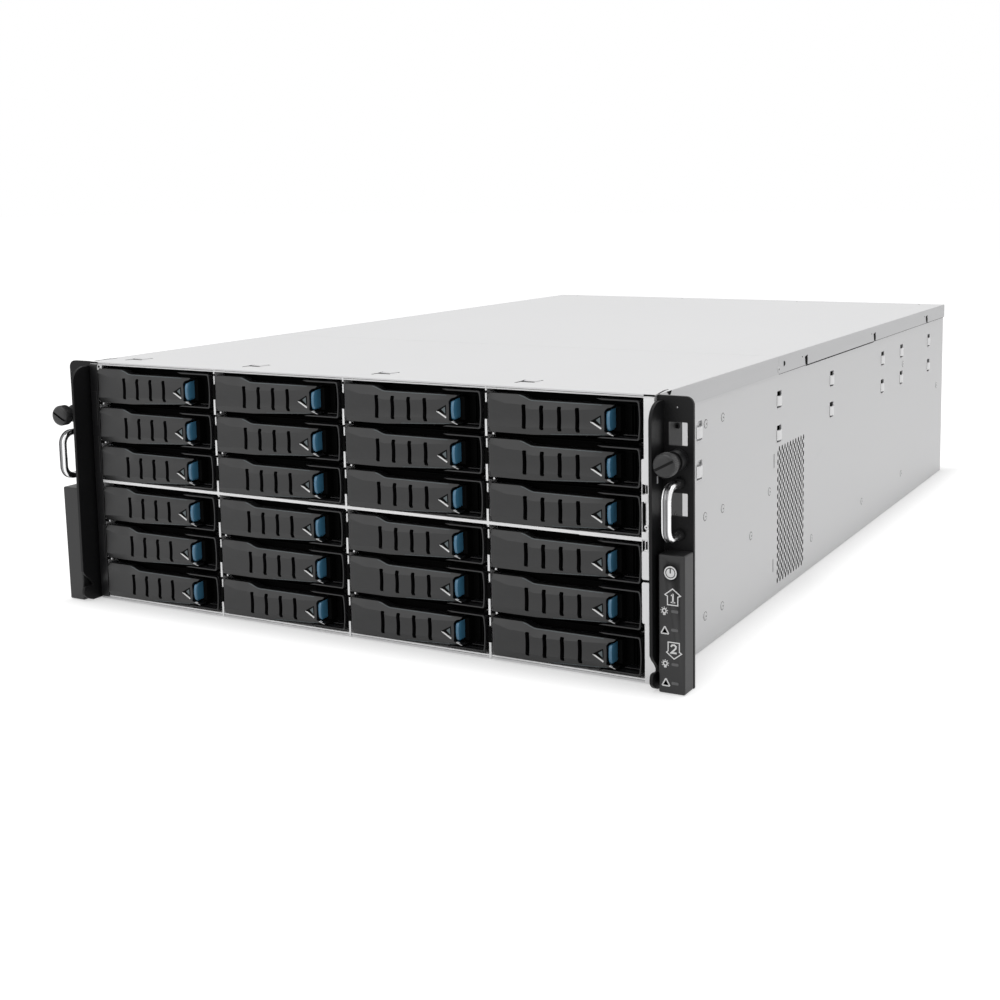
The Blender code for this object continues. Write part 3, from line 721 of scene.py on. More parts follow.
def driveMesh():  # the bare drive that shows when a carrier is out
    near, far = tray["drive"]
    half, low, high = tray["driveHalf"], tray["driveLow"], tray["driveHigh"]
    shape = bmesh.new()
    addPlate(shape, roundedBox((-half, near), (half, far), 2.5, 3), "Z", low + 1.2, high - 1.4)
    lid = roundedBox((-half + 1.5, near + 1.5), (half - 1.5, far - 12), 5, 4)
    addPlate(shape, lid, "Z", high - 1.4, high - 0.5)
    addTurned(shape, [(33, high - 0.5), (32, high)], (0, near + 52, 0), "Z", 48)
    addTurned(shape, [(6, high), (5.6, high + 0.15)], (0, near + 52, 0), "Z", 24)
    for x, y in ((-46, 5), (46, 5), (-46, 70), (46, 70), (-46, 130), (46, 130), (0, 6)):
        addTurned(shape, [(2.3, high - 0.5), (2.0, high + 0.1)], (x, near + y, 0), "Z", 16)
    addPlate(shape, roundedBox((-half + 3, near + 8), (half - 3, far - 2), 2, 3), "Z", low, low + 1.3, (), 1)
    addBox(shape, (-22, far - 3, low + 1.6), (22, far + 0.2, low + 7.2), 2)
    for i in range(14):
        x = -19 + i * 2.8
        addBox(shape, (x, far + 0.15, low + 2.4), (x + 1, far + 0.4, low + 6.2), 3)
    return softened("drive_form", shape, ["cast_aluminium", "board_green", "deep_black", "gold_contact"], 0.3)


trayShape, latchShape, driveShape = trayMesh(), latchMesh(), driveMesh()
leverShape, markShape = leverMesh(), markMesh()
for column in range(body["columns"]):
    for row in range(body["rows"]):
        spot = "c%dr%d" % (column + 1, body["rows"] - row)
        for name, mesh, rider, slot, *node in (
                ("carrier_", trayShape, "tray_", "tray_black", "tray_" + spot),
                ("latch_", latchShape, "tray_", "tray_black"),
                ("drive_", driveShape, "tray_", "zinc"),
                ("grip_", leverShape, "lever_", "tray_black", "lever_" + spot),
                ("mark_", markShape, "lever_", "tray_black")):
            keep(placed(name + spot, mesh, columnCentre(column), rowFloor(row)), rider + spot, slot, *node)
print("stage: carriers", len(trayShape.polygons), len(leverShape.polygons))


# chassis pan: floor, side walls with vents and punched rail hooks, rear wall

pan = {
    "wallTop": 169.7, "wallBack": 708.0, "hookWidth": 9.0, "hookHeight": 12.0, "hookRise": (109.6, 134.1),
    "hookDepth": (61.4, 208.8, 332.7, 481.4, 546.2, 650.1), "hookProud": 1.2,
    "ventFront": 209.8, "ventLow": 6.0, "ventPitch": 3.0, "ventRow": 6.15, "ventColumns": 20, "ventRows": 16,
    "ventHole": (1.28, 2.2), "slits": ((202.3, 92.5, 102.6), (201.2, 17.6, 27.0)),
    "seam": 158.2, "seamFront": 212.6, "seamDark": (272.0, 456.0), "fold": 1.6,
}
rivets = ((76.3, 142.9), (104.9, 142.9), (104.9, 83.5), (75.1, 84.4), (156.9, 53.9), (75.4, 20.4),
          (104.3, 19.3), (193.7, 77.4), (289.0, 22.9), (425.6, 24.3), (555.6, 25.0), (689.6, 91.3),
          (556.2, 127.4))
bay = {"controllers": ((-206.0, 56.0, 5.2, 80.2), (-206.0, 56.0, 85.0, 160.0)),
       "powers": ((62.0, 207.0, 5.2, 80.2), (62.0, 207.0, 85.0, 160.0)), "face": 708.0, "reach": 4.2}


def panMesh():
    shape = bmesh.new()
    half, sheet, depth = body["halfWidth"], body["sheet"], body["depth"]
    front, low = pan["ventFront"], pan["ventLow"]
    far = front + pan["ventPitch"] * pan["ventColumns"]
    top = low + pan["ventRow"] * (pan["ventRows"] + 0.5)
    width, height, rises = pan["hookWidth"], pan["hookHeight"], pan["hookRise"]
    holes = [rectangle(front, low, far, top)]
    holes += [roundedBox((y, z), (y + width, z + height), 0.5, 2) for y in pan["hookDepth"] for z in rises]
    holes += [rectangle(y, start, y + 1.5, end) for y, start, end in pan["slits"]]
    for side in (-1, 1):
        inner, outer = side * (half - sheet), side * half
        addPlate(shape, rectangle(0, 0, depth, pan["wallTop"]), "X", inner, outer, holes)
        addVent(shape, inner, outer, top)
        # painted shade: dark sheets behind the vent and the hooks
        left, right = onSide(side, half - sheet - 1.5, half - sheet - 2.0)
        addBox(shape, (left, front - 2, low - 1), (right, far + 2, top + 2), 1)
        for y in pan["hookDepth"]:
            addBox(shape, (left, y - 3, rises[0] - 3), (right, y + width + 3, rises[1] + 15), 1)
            for z in rises:
                addHook(shape, side, y, z)
        for y, z in rivets:
            head = [(2.5, -0.2), (2.35, 0.2), (1.5, 0.48), (0.5, 0.55)]
            addTurned(shape, [(r, side * (half + out)) for r, out in head], (0, y, z), "X", 20)
            # painted shade: a dark dimple in each head and a dark ring round its edge
            dimple = [(0.6, 0.4), (0.5, 0.6)]
            addTurned(shape, [(r, side * (half + out)) for r, out in dimple], (0, y, z), "X", 12, 1)
            left, right = onSide(side, half - 0.1, half + 0.05)
            addTube(shape, 2.85, 2.6, left, right, (0, y, z), "X", 24, 1)
        # seam of the folded upper band, and the fold along the bottom edge
        seam = pan["seam"]
        left, right = onSide(side, half - 0.1, half + 0.06)
        addBox(shape, (left, pan["seamFront"], seam - 0.45), (right, depth - 0.6, seam - 0.1), 1)
        addBox(shape, (left, pan["seamDark"][0], seam - 0.95), (right, pan["seamDark"][1], seam - 0.1), 1)
        left, right = onSide(side, half - 0.1, half + 0.12)
        addBox(shape, (left, 36, 0.3), (right, depth - 0.6, pan["fold"]))
    inner, wall = half - sheet, pan["wallBack"]
    addPlate(shape, rectangle(-inner, 0, inner, depth), "Z", 0, sheet)
    # rear wall, open where the controllers and power supplies slide in
    bays = [rectangle(a, c, b, d) for a, b, c, d in bay["controllers"] + bay["powers"]]
    addPlate(shape, rectangle(-inner, sheet, inner, 169.4), "Y", wall - sheet, wall, bays)
    for x in (-212.2, 59.0, 212.2):
        for z in (3.0, 82.6, 164.6):
            addTurned(shape, [(1.9, wall - 0.1), (1.8, wall + 0.5), (1.1, wall + 0.9)], (x, 0, z), "Y", 16)
    return meshOf("chassis_pan", shape, ["steel_sheet", "deep_black", "bright_zinc"])


def addVent(shape, inner, outer, top):  # staggered small holes, one closed cell each
    hx, hz = pan["ventHole"]
    pitch, step, floor = pan["ventPitch"], pan["ventRow"], pan["ventLow"]
    for column in range(pan["ventColumns"]):
        y = pan["ventFront"] + (column + 0.5) * pitch
        shift = 0.5 * step * (column % 2)
        left, right = y - pitch / 2, y + pitch / 2
        if shift:
            addPlate(shape, rectangle(left, floor, right, floor + shift), "X", inner, outer)
        for row in range(pan["ventRows"]):
            low = floor + shift + row * step
            high = low + step
            z = (low + high) / 2
            angles = [math.pi * k / 4 for k in range(8)]
            hole = [(y + hx * math.cos(a), z + hz * math.sin(a)) for a in angles]
            ring = [(right, z), (right, high), (y, high), (left, high),
                    (left, z), (left, low), (y, low), (right, low)]
            addRing(shape, ring, hole, inner, outer)
        if not shift:
            addPlate(shape, rectangle(left, floor + pan["ventRows"] * step, right, top), "X", inner, outer)


def addRing(shape, ring, hole, start, end):
    sets = [[shape.verts.new((x, a, b)) for a, b in loop] for loop in (ring, hole) for x in (start, end)]
    outNear, outFar, inNear, inFar = sets
    count = len(ring)
    for i in range(count):
        j = (i + 1) % count
        for a, b in ((outNear, inNear), (inFar, outFar), (inNear, inFar), (outFar, outNear)):
            face = shape.faces.new((a[i], a[j], b[j], b[i]))
            face.material_index = int(a is inNear)  # painted shade: dark inside the holes


def addHook(shape, side, y, z):  # a strip pushed out of the sheet, open above and below
    half, proud, end = body["halfWidth"], pan["hookProud"], y + pan["hookWidth"]
    low, high = z + 1.5, z + pan["hookHeight"] - 3.3
    outer = [(y - 0.2, half - 0.5), (y - 0.2, half + 0.1), (y + 1.8, half + proud), (end - 1.8, half + proud),
             (end + 0.2, half + 0.1), (end + 0.2, half - 0.5)]
    inner = [(end - 0.4, half - 0.5), (end - 2.2, half + proud - 0.7), (y + 2.2, half + proud - 0.7),
             (y + 0.4, half - 0.5)]
    # painted highlight: the strip, pressed from the same sheet, gets the brighter zinc
    addPlate(shape, [(side * x, a) for a, x in outer + inner], "Z", low, high, (), 2)
    # painted shadow: thin dark lines along both sides of the strip
    left, right = onSide(side, half - 0.1, half + 0.06)
    for a in (y - 0.55, end + 0.2):
        addBox(shape, (left, a, low), (right, a + 0.35, high), 1)


base = keep(placed("chassis_pan", panMesh()), "chassis", "steel", "chassis_base")
print("stage: pan", len(base.data.polygons))


# front frame: post plates, painted notch shade on the dividers, shelf edge and top hem

post = {
    "left": 211.6, "right": 218.4, "low": 0.4, "high": 169.4, "y": -0.9, "tabLeft": 210.2, "tabRight": 214.4,
    "plateRise": ((118.7, 133.5, 3.2), (108.3, 112.7, 0.4), (86.1, 90.7, 0.4), (62.3, 79.3, 0.6),
                  (36.0, 60.8, 1.6)),
    "shadedWindows": ((211.3, 212.5, 113.2, 118.3), (213.2, 214.1, 113.4, 118.2), (211.2, 212.7, 90.9, 107.7),
                    (210.9, 212.0, 80.2, 85.3), (212.9, 213.7, 80.4, 85.1)),
    "screw": (213.4, 93.6),
}
frontEdges = {
    "dividers": (-106.2, 0.0, 106.2), "wide": 0.78, "wideRise": (-2.5, 8.0),
    "notchShadeHalf": 1.0, "notchShadeRises": ((8.0, 18.2), (24.0, 25.25)),
    "shelf": (84.95, 86.95), "hem": (168.9, 170.0), "ledge": 3.4,
}


def rightPostMesh():
    shape = bmesh.new()
    y, left, right, skin = post["y"], post["tabLeft"], post["tabRight"], -0.05
    addBox(shape, (post["left"], y, post["low"]), (post["right"], skin, post["high"]))
    addBox(shape, (post["right"] - 1.3, y - 0.35, 26), (post["right"] - 0.6, y, 166))
    for low, high, drop in post["plateRise"]:  # the tall plates have round corners
        outline = [(left, low), (right, low + drop), (right, high), (left, high)]
        if high - low > 14:
            outline = roundedBox((left, low), (post["right"] - 1.6, high), 1.1, 3)
        addPlate(shape, outline, "Y", y - 0.55, skin)
    addBox(shape, (left, y - 0.3, 79), (left + 0.45, skin, 119))
    addBox(shape, (right - 1.1, y - 0.3, 86), (right + 0.4, skin, 119))
    # painted shade: black patches for the openings in the plates, a dark bar in the gap under a plate, and
    # the screw's slot
    for start, end, low, high in post["shadedWindows"]:
        addBox(shape, (start, y - 0.62, low), (end, y - 0.2, high), 1)
    addBox(shape, (211.0, y - 0.7, 61.0), (214.8, y - 0.3, 62.4), 1)
    x, z = post["screw"]
    addTurned(shape, [(1.5, y - 0.1), (1.4, y - 0.7), (0.8, y - 0.9)], (x, 0, z), "Y", 16)
    addTurned(shape, [(0.55, y - 0.8), (0.5, y - 0.95)], (x, 0, z), "Y", 10, 1)
    return softened("post_form", shape, ["bright_zinc", "deep_black"], 0.12)


def leftPostMesh():
    shape = bmesh.new()
    addBox(shape, (-218.4, -0.9, 1.6), (-211.4, -0.05, 169.4))
    for low, high in ((30, 54), (92, 118), (126, 150)):
        addPlate(shape, roundedBox((-217.6, low), (-212.6, high), 1.0, 3), "Y", -1.3, -0.8)
    return softened("left_post_form", shape, ["tray_plastic"], 0.15)


def frontEdgeMesh():  # bright pieces, and black ones as painted shade, over the front edges of the cage
    shape = bmesh.new()
    wide, notchShade, ledge = frontEdges["wide"], frontEdges["notchShadeHalf"], frontEdges["ledge"]

    def strip(left, low, right, high, near, index=0, far=-0.05):
        addBox(shape, (left, near, low), (right, far, high), index)

    for row in range(body["rows"]):
        z = rowFloor(row)
        for x in frontEdges["dividers"]:
            low, high = frontEdges["wideRise"]
            strip(x - wide, z + low, x + wide, z + high, -0.55)
            # painted shade: black strips over the divider edges
            for low, high in frontEdges["notchShadeRises"]:
                strip(x - notchShade, z + low, x + notchShade, z + high, -0.9, 1)
    for column in range(body["columns"]):
        left = columnCentre(column) - body["columnPitch"] / 2
        right = columnCentre(column) + body["columnPitch"] / 2
        for row in range(1, body["rows"]):
            if row == body["shelfAfter"]:
                continue
            z = rowFloor(row) - 1.35
            # painted shade: black strips over the ledges in the gaps between rows
            strip(right - ledge - 0.6, z, right - 0.85, z + 1.7, -0.3, 1, -0.03)
            strip(left + 0.85, z, left + ledge + 0.6, z + 1.7, -0.3, 1, -0.03)
            pin = [(0.75, -0.05), (0.7, -0.35), (0.4, -0.5)]
            addTurned(shape, pin, (left + 4.9, 0, z + 0.75), "Y", 12)
    low, high = frontEdges["shelf"]
    strip(-212.4, low, 170, high, -0.6)
    strip(169, low - 0.25, 212.0, high + 0.15, -0.65)
    low, high = frontEdges["hem"]
    strip(-212.4, low, 212.4, high - 0.25, -0.25, 2)
    for side in (-1, 1):
        left, right = onSide(side, 211.4, 218.4)
        # painted shade: a dark strip in the gap above each post
        strip(left, 169.9, right, 170.85, -0.3, 1, -0.02)
    strip(-212.2, 165.4, -207.2, 168.8, -0.7, 2)  # bracket end at the left
    addTurned(shape, [(0.9, -0.65), (0.85, -0.8)], (-209.8, 0, 167.7), "Y", 12, 1)
    return softened("front_edges", shape, ["bright_zinc", "deep_black", "steel_sheet"], 0.1, 1)


keep(placed("right_post", rightPostMesh()), "chassis", "zinc")
keep(placed("left_post", leftPostMesh()), "chassis", "ear_black")
keep(placed("front_edges", frontEdgeMesh()), "chassis", "zinc")
print("stage: front frame")


# rack ears

ear = {
    "inner": 218.8, "outer": 241.3, "top": 170.7, "front": 2.4, "back": 4.4, "middle": 3.4, "corner": 5.0,
    "lipInner": 220.7, "lipOuter": 222.7, "lipReach": 14.5, "lipTop": 167.9, "lipCorner": 11.0, "foot": 22.0,
    "sideReach": 34.0, "sideLow": 6.0, "sideHigh": 158.2, "lean": 0.017,
    "slotLeft": 225.9, "slotRight": 237.5, "slotRises": (107.8, 148.85), "slotHeight": 13.6,
    "hole": (231.0, 164.1, 0.65),
    "footShares": ((1.0, 1.0), (0.85, 0.855), (0.64, 0.725), (0.45, 0.575), (0.40, 0.48), (0.54, 0.47),
                   (0.74, 0.49), (0.93, 0.47), (1.0, 0.36), (0.98, 0.22), (0.74, 0.08), (0.45, 0.0)),
}
screw = {
    "x": 231.7, "z": 133.9, "collarRadius": 6.2, "collarFront": -5.6, "bore": 3.3, "neckFront": -11.9,
    "knobFront": -19.4, "knobRadius": 7.1, "neckRadius": 5.2, "shank": 3.0, "shankEnd": 16.4,
    "slot": (1.5, 1.25, 28.0), "ridges": 44,
}
handle = {"x": 232.3, "z": 105.5, "spacing": 30.5, "footFront": -1.6, "footRadius": 3.3, "reach": -18.3,
          "depth": 4.5, "bend": 7.5}


def mirrored(shape, side, lean=0.0):  # the left ear of the photo leans in a little towards its foot
    if side < 0:
        bmesh.ops.scale(shape, vec=(-1, 1, 1), verts=shape.verts)
        bmesh.ops.reverse_faces(shape, faces=shape.faces)
        for point in shape.verts:
            out = max(0.0, (-point.co.x - 222.6) / 18)
            point.co.x += lean * (170 - point.co.z) * out * out


def earMesh(side):
    shape = bmesh.new()
    inner, outer, top, middle, back = ear["inner"], ear["outer"], ear["top"], ear["middle"], ear["back"]
    corner, reach, lipTop, lipCorner = ear["corner"], ear["lipReach"], ear["lipTop"], ear["lipCorner"]
    outline = [(inner, 0), (outer, 0)]
    for step in range(9):
        angle = math.pi / 2 * step / 8
        outline.append((outer - corner * (1 - math.cos(angle)), top - corner * (1 - math.sin(angle))))
    outline.append((inner, top))
    half = ear["slotHeight"] / 2
    holes = [roundedBox((ear["slotLeft"], rise - half), (ear["slotRight"], rise + half), 0.5, 2)
             for rise in ear["slotRises"]]
    holes.append(circle(ear["hole"][:2], ear["hole"][2], 16))
    holes.append(circle((screw["x"], screw["z"]), screw["bore"], 24))
    addPlate(shape, outline, "Y", ear["front"], back, holes)
    # lip with its curled foot
    foot = smoothLine([(a * -reach, b * ear["foot"]) for a, b in reversed(ear["footShares"])], 4)
    arc = []
    for step in range(11):
        angle = math.pi - math.pi / 2 * step / 10
        arc.append((-reach + lipCorner * (1 + math.cos(angle)), lipTop - lipCorner * (1 - math.sin(angle))))
    addPlate(shape, foot + arc + [(middle, lipTop), (middle, 0)], "X", ear["lipInner"], ear["lipOuter"])
    # side plate, and the bend between it and the flange
    low, high = ear["sideLow"], ear["sideHigh"]
    addBox(shape, (inner, middle, low), (inner + 2, ear["sideReach"], high))
    bend = [(inner + 1.8, back - 0.1), (inner + 3.2, back - 0.1), (inner + 2.4, back + 0.5),
            (inner + 1.8, back + 1.5)]
    addPlate(shape, bend, "Z", low + 1, high - 1)
    # countersunk screws in the side plate, and a round-headed one behind the upper slot
    for z in (24, 60, 96):
        addTurned(shape, [(2.4, 220.75), (2.3, 220.95), (1.2, 220.95), (1.0, 220.82)], (0, 24, z), "X", 20)
    addTurned(shape, [(1.8, 220.7), (1.8, 222.2), (1.3, 222.9), (0.5, 223.1)], (0, 26.6, 149.4), "X", 20)
    radius, centre = screw["collarRadius"], (screw["x"], 0, screw["z"])
    addTube(shape, radius, screw["bore"], screw["collarFront"], middle, centre, "Y", 36)
    addTube(shape, radius + 0.35, radius - 1, 0.6, middle, centre, "Y", 36)
    r = handle["footRadius"]
    ferrule = [(r, middle), (r, 1.5), (r - 0.45, 1.3), (r - 0.45, 0.9), (r, 0.7), (r, 0.1), (r - 0.45, -0.1),
               (r - 0.45, -0.5), (r, -0.7), (r, -1.3), (r - 0.3, -1.6)]
    for up in (-1, 1):
        addTurned(shape, ferrule, (handle["x"], 0, handle["z"] + up * handle["spacing"] / 2), "Y", 28)
    mirrored(shape, side, ear["lean"])
    return softened("ear_form", shape, ["powder_coat"], 0.3, 3, 50, 35)


def handleMesh(side):  # bow with two grooves along its face
    shape = bmesh.new()
    x, z, half, bend = handle["x"], handle["z"], handle["spacing"] / 2, handle["bend"]
    grip = handle["reach"] + handle["depth"] / 2
    path = []
    for up in (1, -1):
        run = [Vector((x, handle["footFront"] - 0.3, z + up * half))]
        for step in range(13):
            angle = math.pi / 2 * step / 12
            rise = half - bend + bend * math.cos(angle)
            run.append(Vector((x, grip + bend * (1 - math.sin(angle)), z + up * rise)))
        path += run if up > 0 else run[::-1]
    groove = [(-1.85, 2.05), (-1.35, 2.1), (-1.1, 1.45), (-0.75, 1.4), (-0.45, 1.75)]
    flank = [(-2.88, 0), (-2.75, 0.95), (-2.4, 1.65)]
    back = [(2.7, -1.05), (2.05, -1.8), (1.05, -2.15)]
    face = flank + groove + [(-a, b) for a, b in reversed(flank + groove)]
    face += back + [(-a, b) for a, b in reversed(back)]
    # the groove faces take the darker steel, a painted dark reflection
    addSweep(shape, path, Vector((1, 0, 0)), face, range(4, 12))
    mirrored(shape, side, ear["lean"])
    return meshOf("handle_form", shape, ["polished_steel", "grooved_steel"], 32)


def screwMesh(side):
    shape = bmesh.new()
    centre = (screw["x"], 0, screw["z"])
    r, front, neck = screw["knobRadius"], screw["knobFront"], screw["neckFront"]
    rim = [(r - 0.5, neck), (r, neck - 0.5), (r, front + 2.3), (r - 0.25, front + 1.6)]
    addTurned(shape, rim, centre, "Y", screw["ridges"] * 2, 0, screw["ridges"], 0.3)
    crown = [(r - 0.35, neck - 0.6), (r - 0.32, front + 1.9), (r - 0.7, front + 1.0), (r - 1.5, front + 0.35),
             (r - 2.6, front + 0.05), (r - 4.4, front)]
    addTurned(shape, crown, centre, "Y", 48)
    r = screw["neckRadius"]
    coil = [(r - 0.9, neck + 0.1)]
    for turn in range(6):
        start = neck + 0.15 + turn * 0.98
        coil += [(r - 0.75, start), (r, start + 0.28), (r, start + 0.6), (r - 0.75, start + 0.88)]
    addTurned(shape, coil, centre, "Y", 40)
    r = screw["shank"]
    thread = [(r - 0.3, -6.2), (r - 0.1, 4.6)]
    for turn in range(13):
        start = 4.9 + turn * 0.8
        thread += [(r - 0.5, start), (r, start + 0.4)]
    thread += [(r - 0.5, 15.6), (r - 1.1, screw["shankEnd"] - 0.1)]
    addTurned(shape, thread, centre, "Y", 28)
    piece = placed("screw_form", meshOf("screw_form", shape, ["blackened_steel", "powder_coat"], 34))
    width, deep, tilt = screw["slot"]
    slot = bmesh.new()
    addBox(slot, (-12, front - 3, -width / 2), (12, front + deep, width / 2))
    lean = Matrix.Rotation(math.radians(-tilt), 3, "Y")
    bmesh.ops.rotate(slot, cent=(0, 0, 0), matrix=lean, verts=slot.verts)
    bmesh.ops.translate(slot, vec=centre, verts=slot.verts)
    mesh = finished(piece, cut(piece, slot))
    made = bmesh.new()
    made.from_mesh(mesh)
    turn = math.radians(tilt)
    for face in made.faces:  # painted shade: the slot's faces take the darker powder coat
        x, y, z = face.calc_center_median() / mm
        off = (z - screw["z"]) * math.cos(turn) - (x - screw["x"]) * math.sin(turn)
        if y < front + deep + 0.01 and abs(off) < width / 2 + 0.01:
            face.material_index = 1
    mirrored(made, side)
    made.to_mesh(mesh)
    made.free()
    mesh.shade_smooth()
    mesh.set_sharp_from_angle(angle=math.radians(34))
    return mesh


for side, word in ((1, "right"), (-1, "left")):
    keep(placed(word + "_rack_ear", earMesh(side)), "chassis", "ear_black", word + "_ear")
    keep(placed(word + "_bow", handleMesh(side)), "chassis", "bright", word + "_handle")
    keep(placed(word + "_knob", screwMesh(side)), word + "_screw", "screw_black", word + "_thumbscrew")
    clip = bmesh.new()
    low, high = onSide(side, 222.6, 222.95)
    addBox(clip, (low, -7.4, 121.2), (high, -6.0, 125.4))
    keep(placed(word + "_lip_clip", meshOf("lip_clip", clip, ["bright_zinc"])), "chassis", "zinc")
print("stage: ears")


# modules on the lower ears, with the power button, lamps and printed signs

module = {
    "left": 224.9, "right": 241.3, "front": -11.1, "back": 2.1, "high": 81.45, "edge": 1.0, "printed": 0.1,
    "lamps": ((235.2, 48.8), (235.1, 37.9), (235.3, 17.7), (235.3, 6.5)), "lampSize": (4.4, 1.7),
    "bulbs": ((228.7, 48.7), (229.2, 17.8)), "warnings": ((229.0, 37.3), (229.6, 6.6)),
}
power = {"x": 232.7, "z": 71.25, "front": -11.5, "length": 5.0, "radius": 4.0, "seat": 4.3,
         "ring": (4.05, 3.1), "disc": 2.55, "bar": 0.75}
line = 0.62


def moduleMesh(side):
    shape = bmesh.new()
    addBox(shape, (module["left"], module["front"], 0), (module["right"], module["back"], module["high"]))
    mirrored(shape, side, ear["lean"])
    piece = placed("module_form", meshOf("module_form", shape, ["module_plastic"], 40))
    soften(piece, module["edge"], 4, 40)
    if side < 0:
        return finished(piece)
    seat = bmesh.new()
    addTurned(seat, [(power["seat"], module["front"] - 3), (power["seat"], -4.6)],
              (power["x"], 0, power["z"]), "Y", 40)
    return finished(piece, cut(piece, seat))


def signMesh():  # every printed sign of the right module
    shape = bmesh.new()
    start, end = module["front"] - module["printed"], module["front"] + 0.3

    def stroke(points, closed=False, width=line):
        addStroke(shape, points, width, "Y", start, end, closed)

    stroke([(233.9, 62.0), (238.8, 58.3), (237.1, 57.5), (237.1, 52.5), (230.7, 52.5), (230.7, 57.5),
            (229.1, 58.3)], True)  # arrow up
    stroke([(231.0, 30.6), (238.0, 30.6), (238.0, 25.4), (239.4, 24.5), (234.7, 21.0), (230.0, 24.5),
            (231.0, 25.4)], True)  # arrow down
    # plain numbers in the arrows
    stroke([(234.1, 59.2), (234.1, 54.0)], False, 0.95)
    stroke([(232.9, 57.9), (234.0, 58.8)], False, 0.7)
    stroke([(232.7, 54.1), (235.5, 54.1)], False, 0.7)
    stroke([(232.8, 28.0), (233.5, 29.0), (234.9, 29.2), (235.9, 28.4), (235.7, 27.2), (233.0, 24.5),
            (236.3, 24.5)], False, 1.0)
    for x, z in module["bulbs"]:
        stroke(circle((x, z), 1.2, 14), True, 0.75)
        addBox(shape, (x - 0.8, start, z - 2.5), (x + 0.8, end, z - 1.4))
        for turn in range(-3, 4):
            angle = math.radians(90 + turn * 40)
            a, b = (Vector((math.cos(angle), math.sin(angle))) * reach for reach in (1.8, 2.35))
            stroke([(x + a.x, z + a.y), (x + b.x, z + b.y)], False, 0.5)
    for x, z in module["warnings"]:
        stroke([(x - 0.2, z + 2.0), (x + 0.2, z + 2.0), (x + 2.25, z - 1.6), (x + 2.05, z - 1.95),
                (x - 2.05, z - 1.95), (x - 2.25, z - 1.6)], True, 0.75)
        addBox(shape, (x - 0.2, start, z - 0.7), (x + 0.2, end, z + 0.8))
    return meshOf("signs", shape, ["white_print"])


def lampMesh():
    shape = bmesh.new()
    wide, high = module["lampSize"]
    front = module["front"]
    for x, z in module["lamps"]:
        outline = roundedBox((x - wide / 2, z - high / 2), (x + wide / 2, z + high / 2), 0.6, 3)
        addPlate(shape, outline, "Y", front - 0.12, front + 0.5)
        addStroke(shape, outline, 0.22, "Y", front - 0.08, front + 0.4, True, 1)
    return meshOf("lamps", shape, ["smoked_lens", "module_plastic"])


def buttonMesh():
    shape = bmesh.new()
    x, z, r, front = power["x"], power["z"], power["radius"], power["front"]
    centre = (x, 0, z)
    addTurned(shape, [(r - 0.25, front), (r, front + 0.25), (r, front + power["length"])], centre, "Y", 48, 1)
    outer, inner = power["ring"]
    addTube(shape, outer - 0.15, inner, front - 0.08, front + 0.3, centre, "Y", 48)
    addTurned(shape, [(power["disc"], front - 0.08), (power["disc"], front + 0.2)], centre, "Y", 40)
    half = power["bar"] / 2
    bar = roundedBox((x - half, z - 0.2), (x + half, z + 3.0), 0.15, 2)
    addPlate(shape, bar, "Y", front - 0.14, front, (), 1)
    return meshOf("button", shape, ["white_print", "module_plastic"], 35)


keep(placed("right_module", moduleMesh(1)), "chassis", "module_grey", "control_module")
keep(placed("blank_module", moduleMesh(-1)), "chassis", "module_grey", "left_module")
keep(placed("module_signs", signMesh()), "chassis", "button_white")
keep(placed("module_lamps", lampMesh()), "chassis", "module_grey")
keep(placed("power_face", buttonMesh()), "power", "button_white", "power_button")
print("stage: modules")


# top plate marks, cover hooks and cover fastening

topMarks = {
    # front left corner and right end of each lanced tab, on the top plate
    "lances": ((-204.0, 21.8), (-97.8, 21.6), (8.4, 21.8), (115.0, 21.5)), "rise": 0.5,
    "dots": ((-40.3, 230.0), (-14.1, 240.3), (14.3, 237.2)),
}
coverParts = {
    "hooks": (271.8, 456.9, 642.0), "outer": 219.7, "low": 158.2, "moon": (218.8, 164.9),
    "screw": (207.9, 162.0), "screwRow": 704.0, "screwsAcross": (-196.0, -66.0, 66.0, 196.0),
}


def topMarkMesh():
    shape = bmesh.new()
    top = body["height"]

    def patch(outline, low=0.2, high=0.07, index=1):
        addPlate(shape, outline, "Z", top - low, top + high, (), index)

    for x, y in topMarks["lances"]:  # half-sheared tab: open in front and at the left, joined at the back; the openings are dark patches, painted shade
        patch([(x + 2.0, y - 5.6), (x + 3.3, y - 5.6), (x + 4.7, y + 1), (x + 3.1, y + 7.6),
               (x + 1.6, y + 7.6), (x + 2.6, y + 0.5)])
        patch([(x + 4.0, y - 1.0), (x + 13.4, y - 1.4), (x + 13.4, y - 0.2), (x + 4.4, y + 1.3)])
        roof = [(x + 4.6, y + 1.4), (x + 13.2, y + 0.2), (x + 13.6, y + 7.6), (x + 4.4, y + 6.6)]
        patch(roof, 0.2, topMarks["rise"], 0)
        patch([(x + 4.7, y + 7.6), (x + 13.9, y + 8.6), (x + 13.9, y + 9.9), (x + 4.7, y + 8.7)])
    for side in (-1, 1):  # slit along the edge at each front corner, with its notch in the flange, both dark patches as painted shade
        slit = [(218.1, 4.5), (219.0, 5.3), (216.8, 18.2), (216.8, 23.4), (216.0, 23.4), (215.8, 17.8)]
        patch([(side * x, y) for x, y in slit], 0.1, 0.08)
        notch = [(13.6, top + 0.07), (20.8, top + 0.07), (19.0, top - 2.2), (17.0, top - 2.2)]
        addPlate(shape, notch, "X", *onSide(side, 219.6, 219.86), (), 1)
    return meshOf("top_marks", shape, ["steel_sheet", "deep_black"])


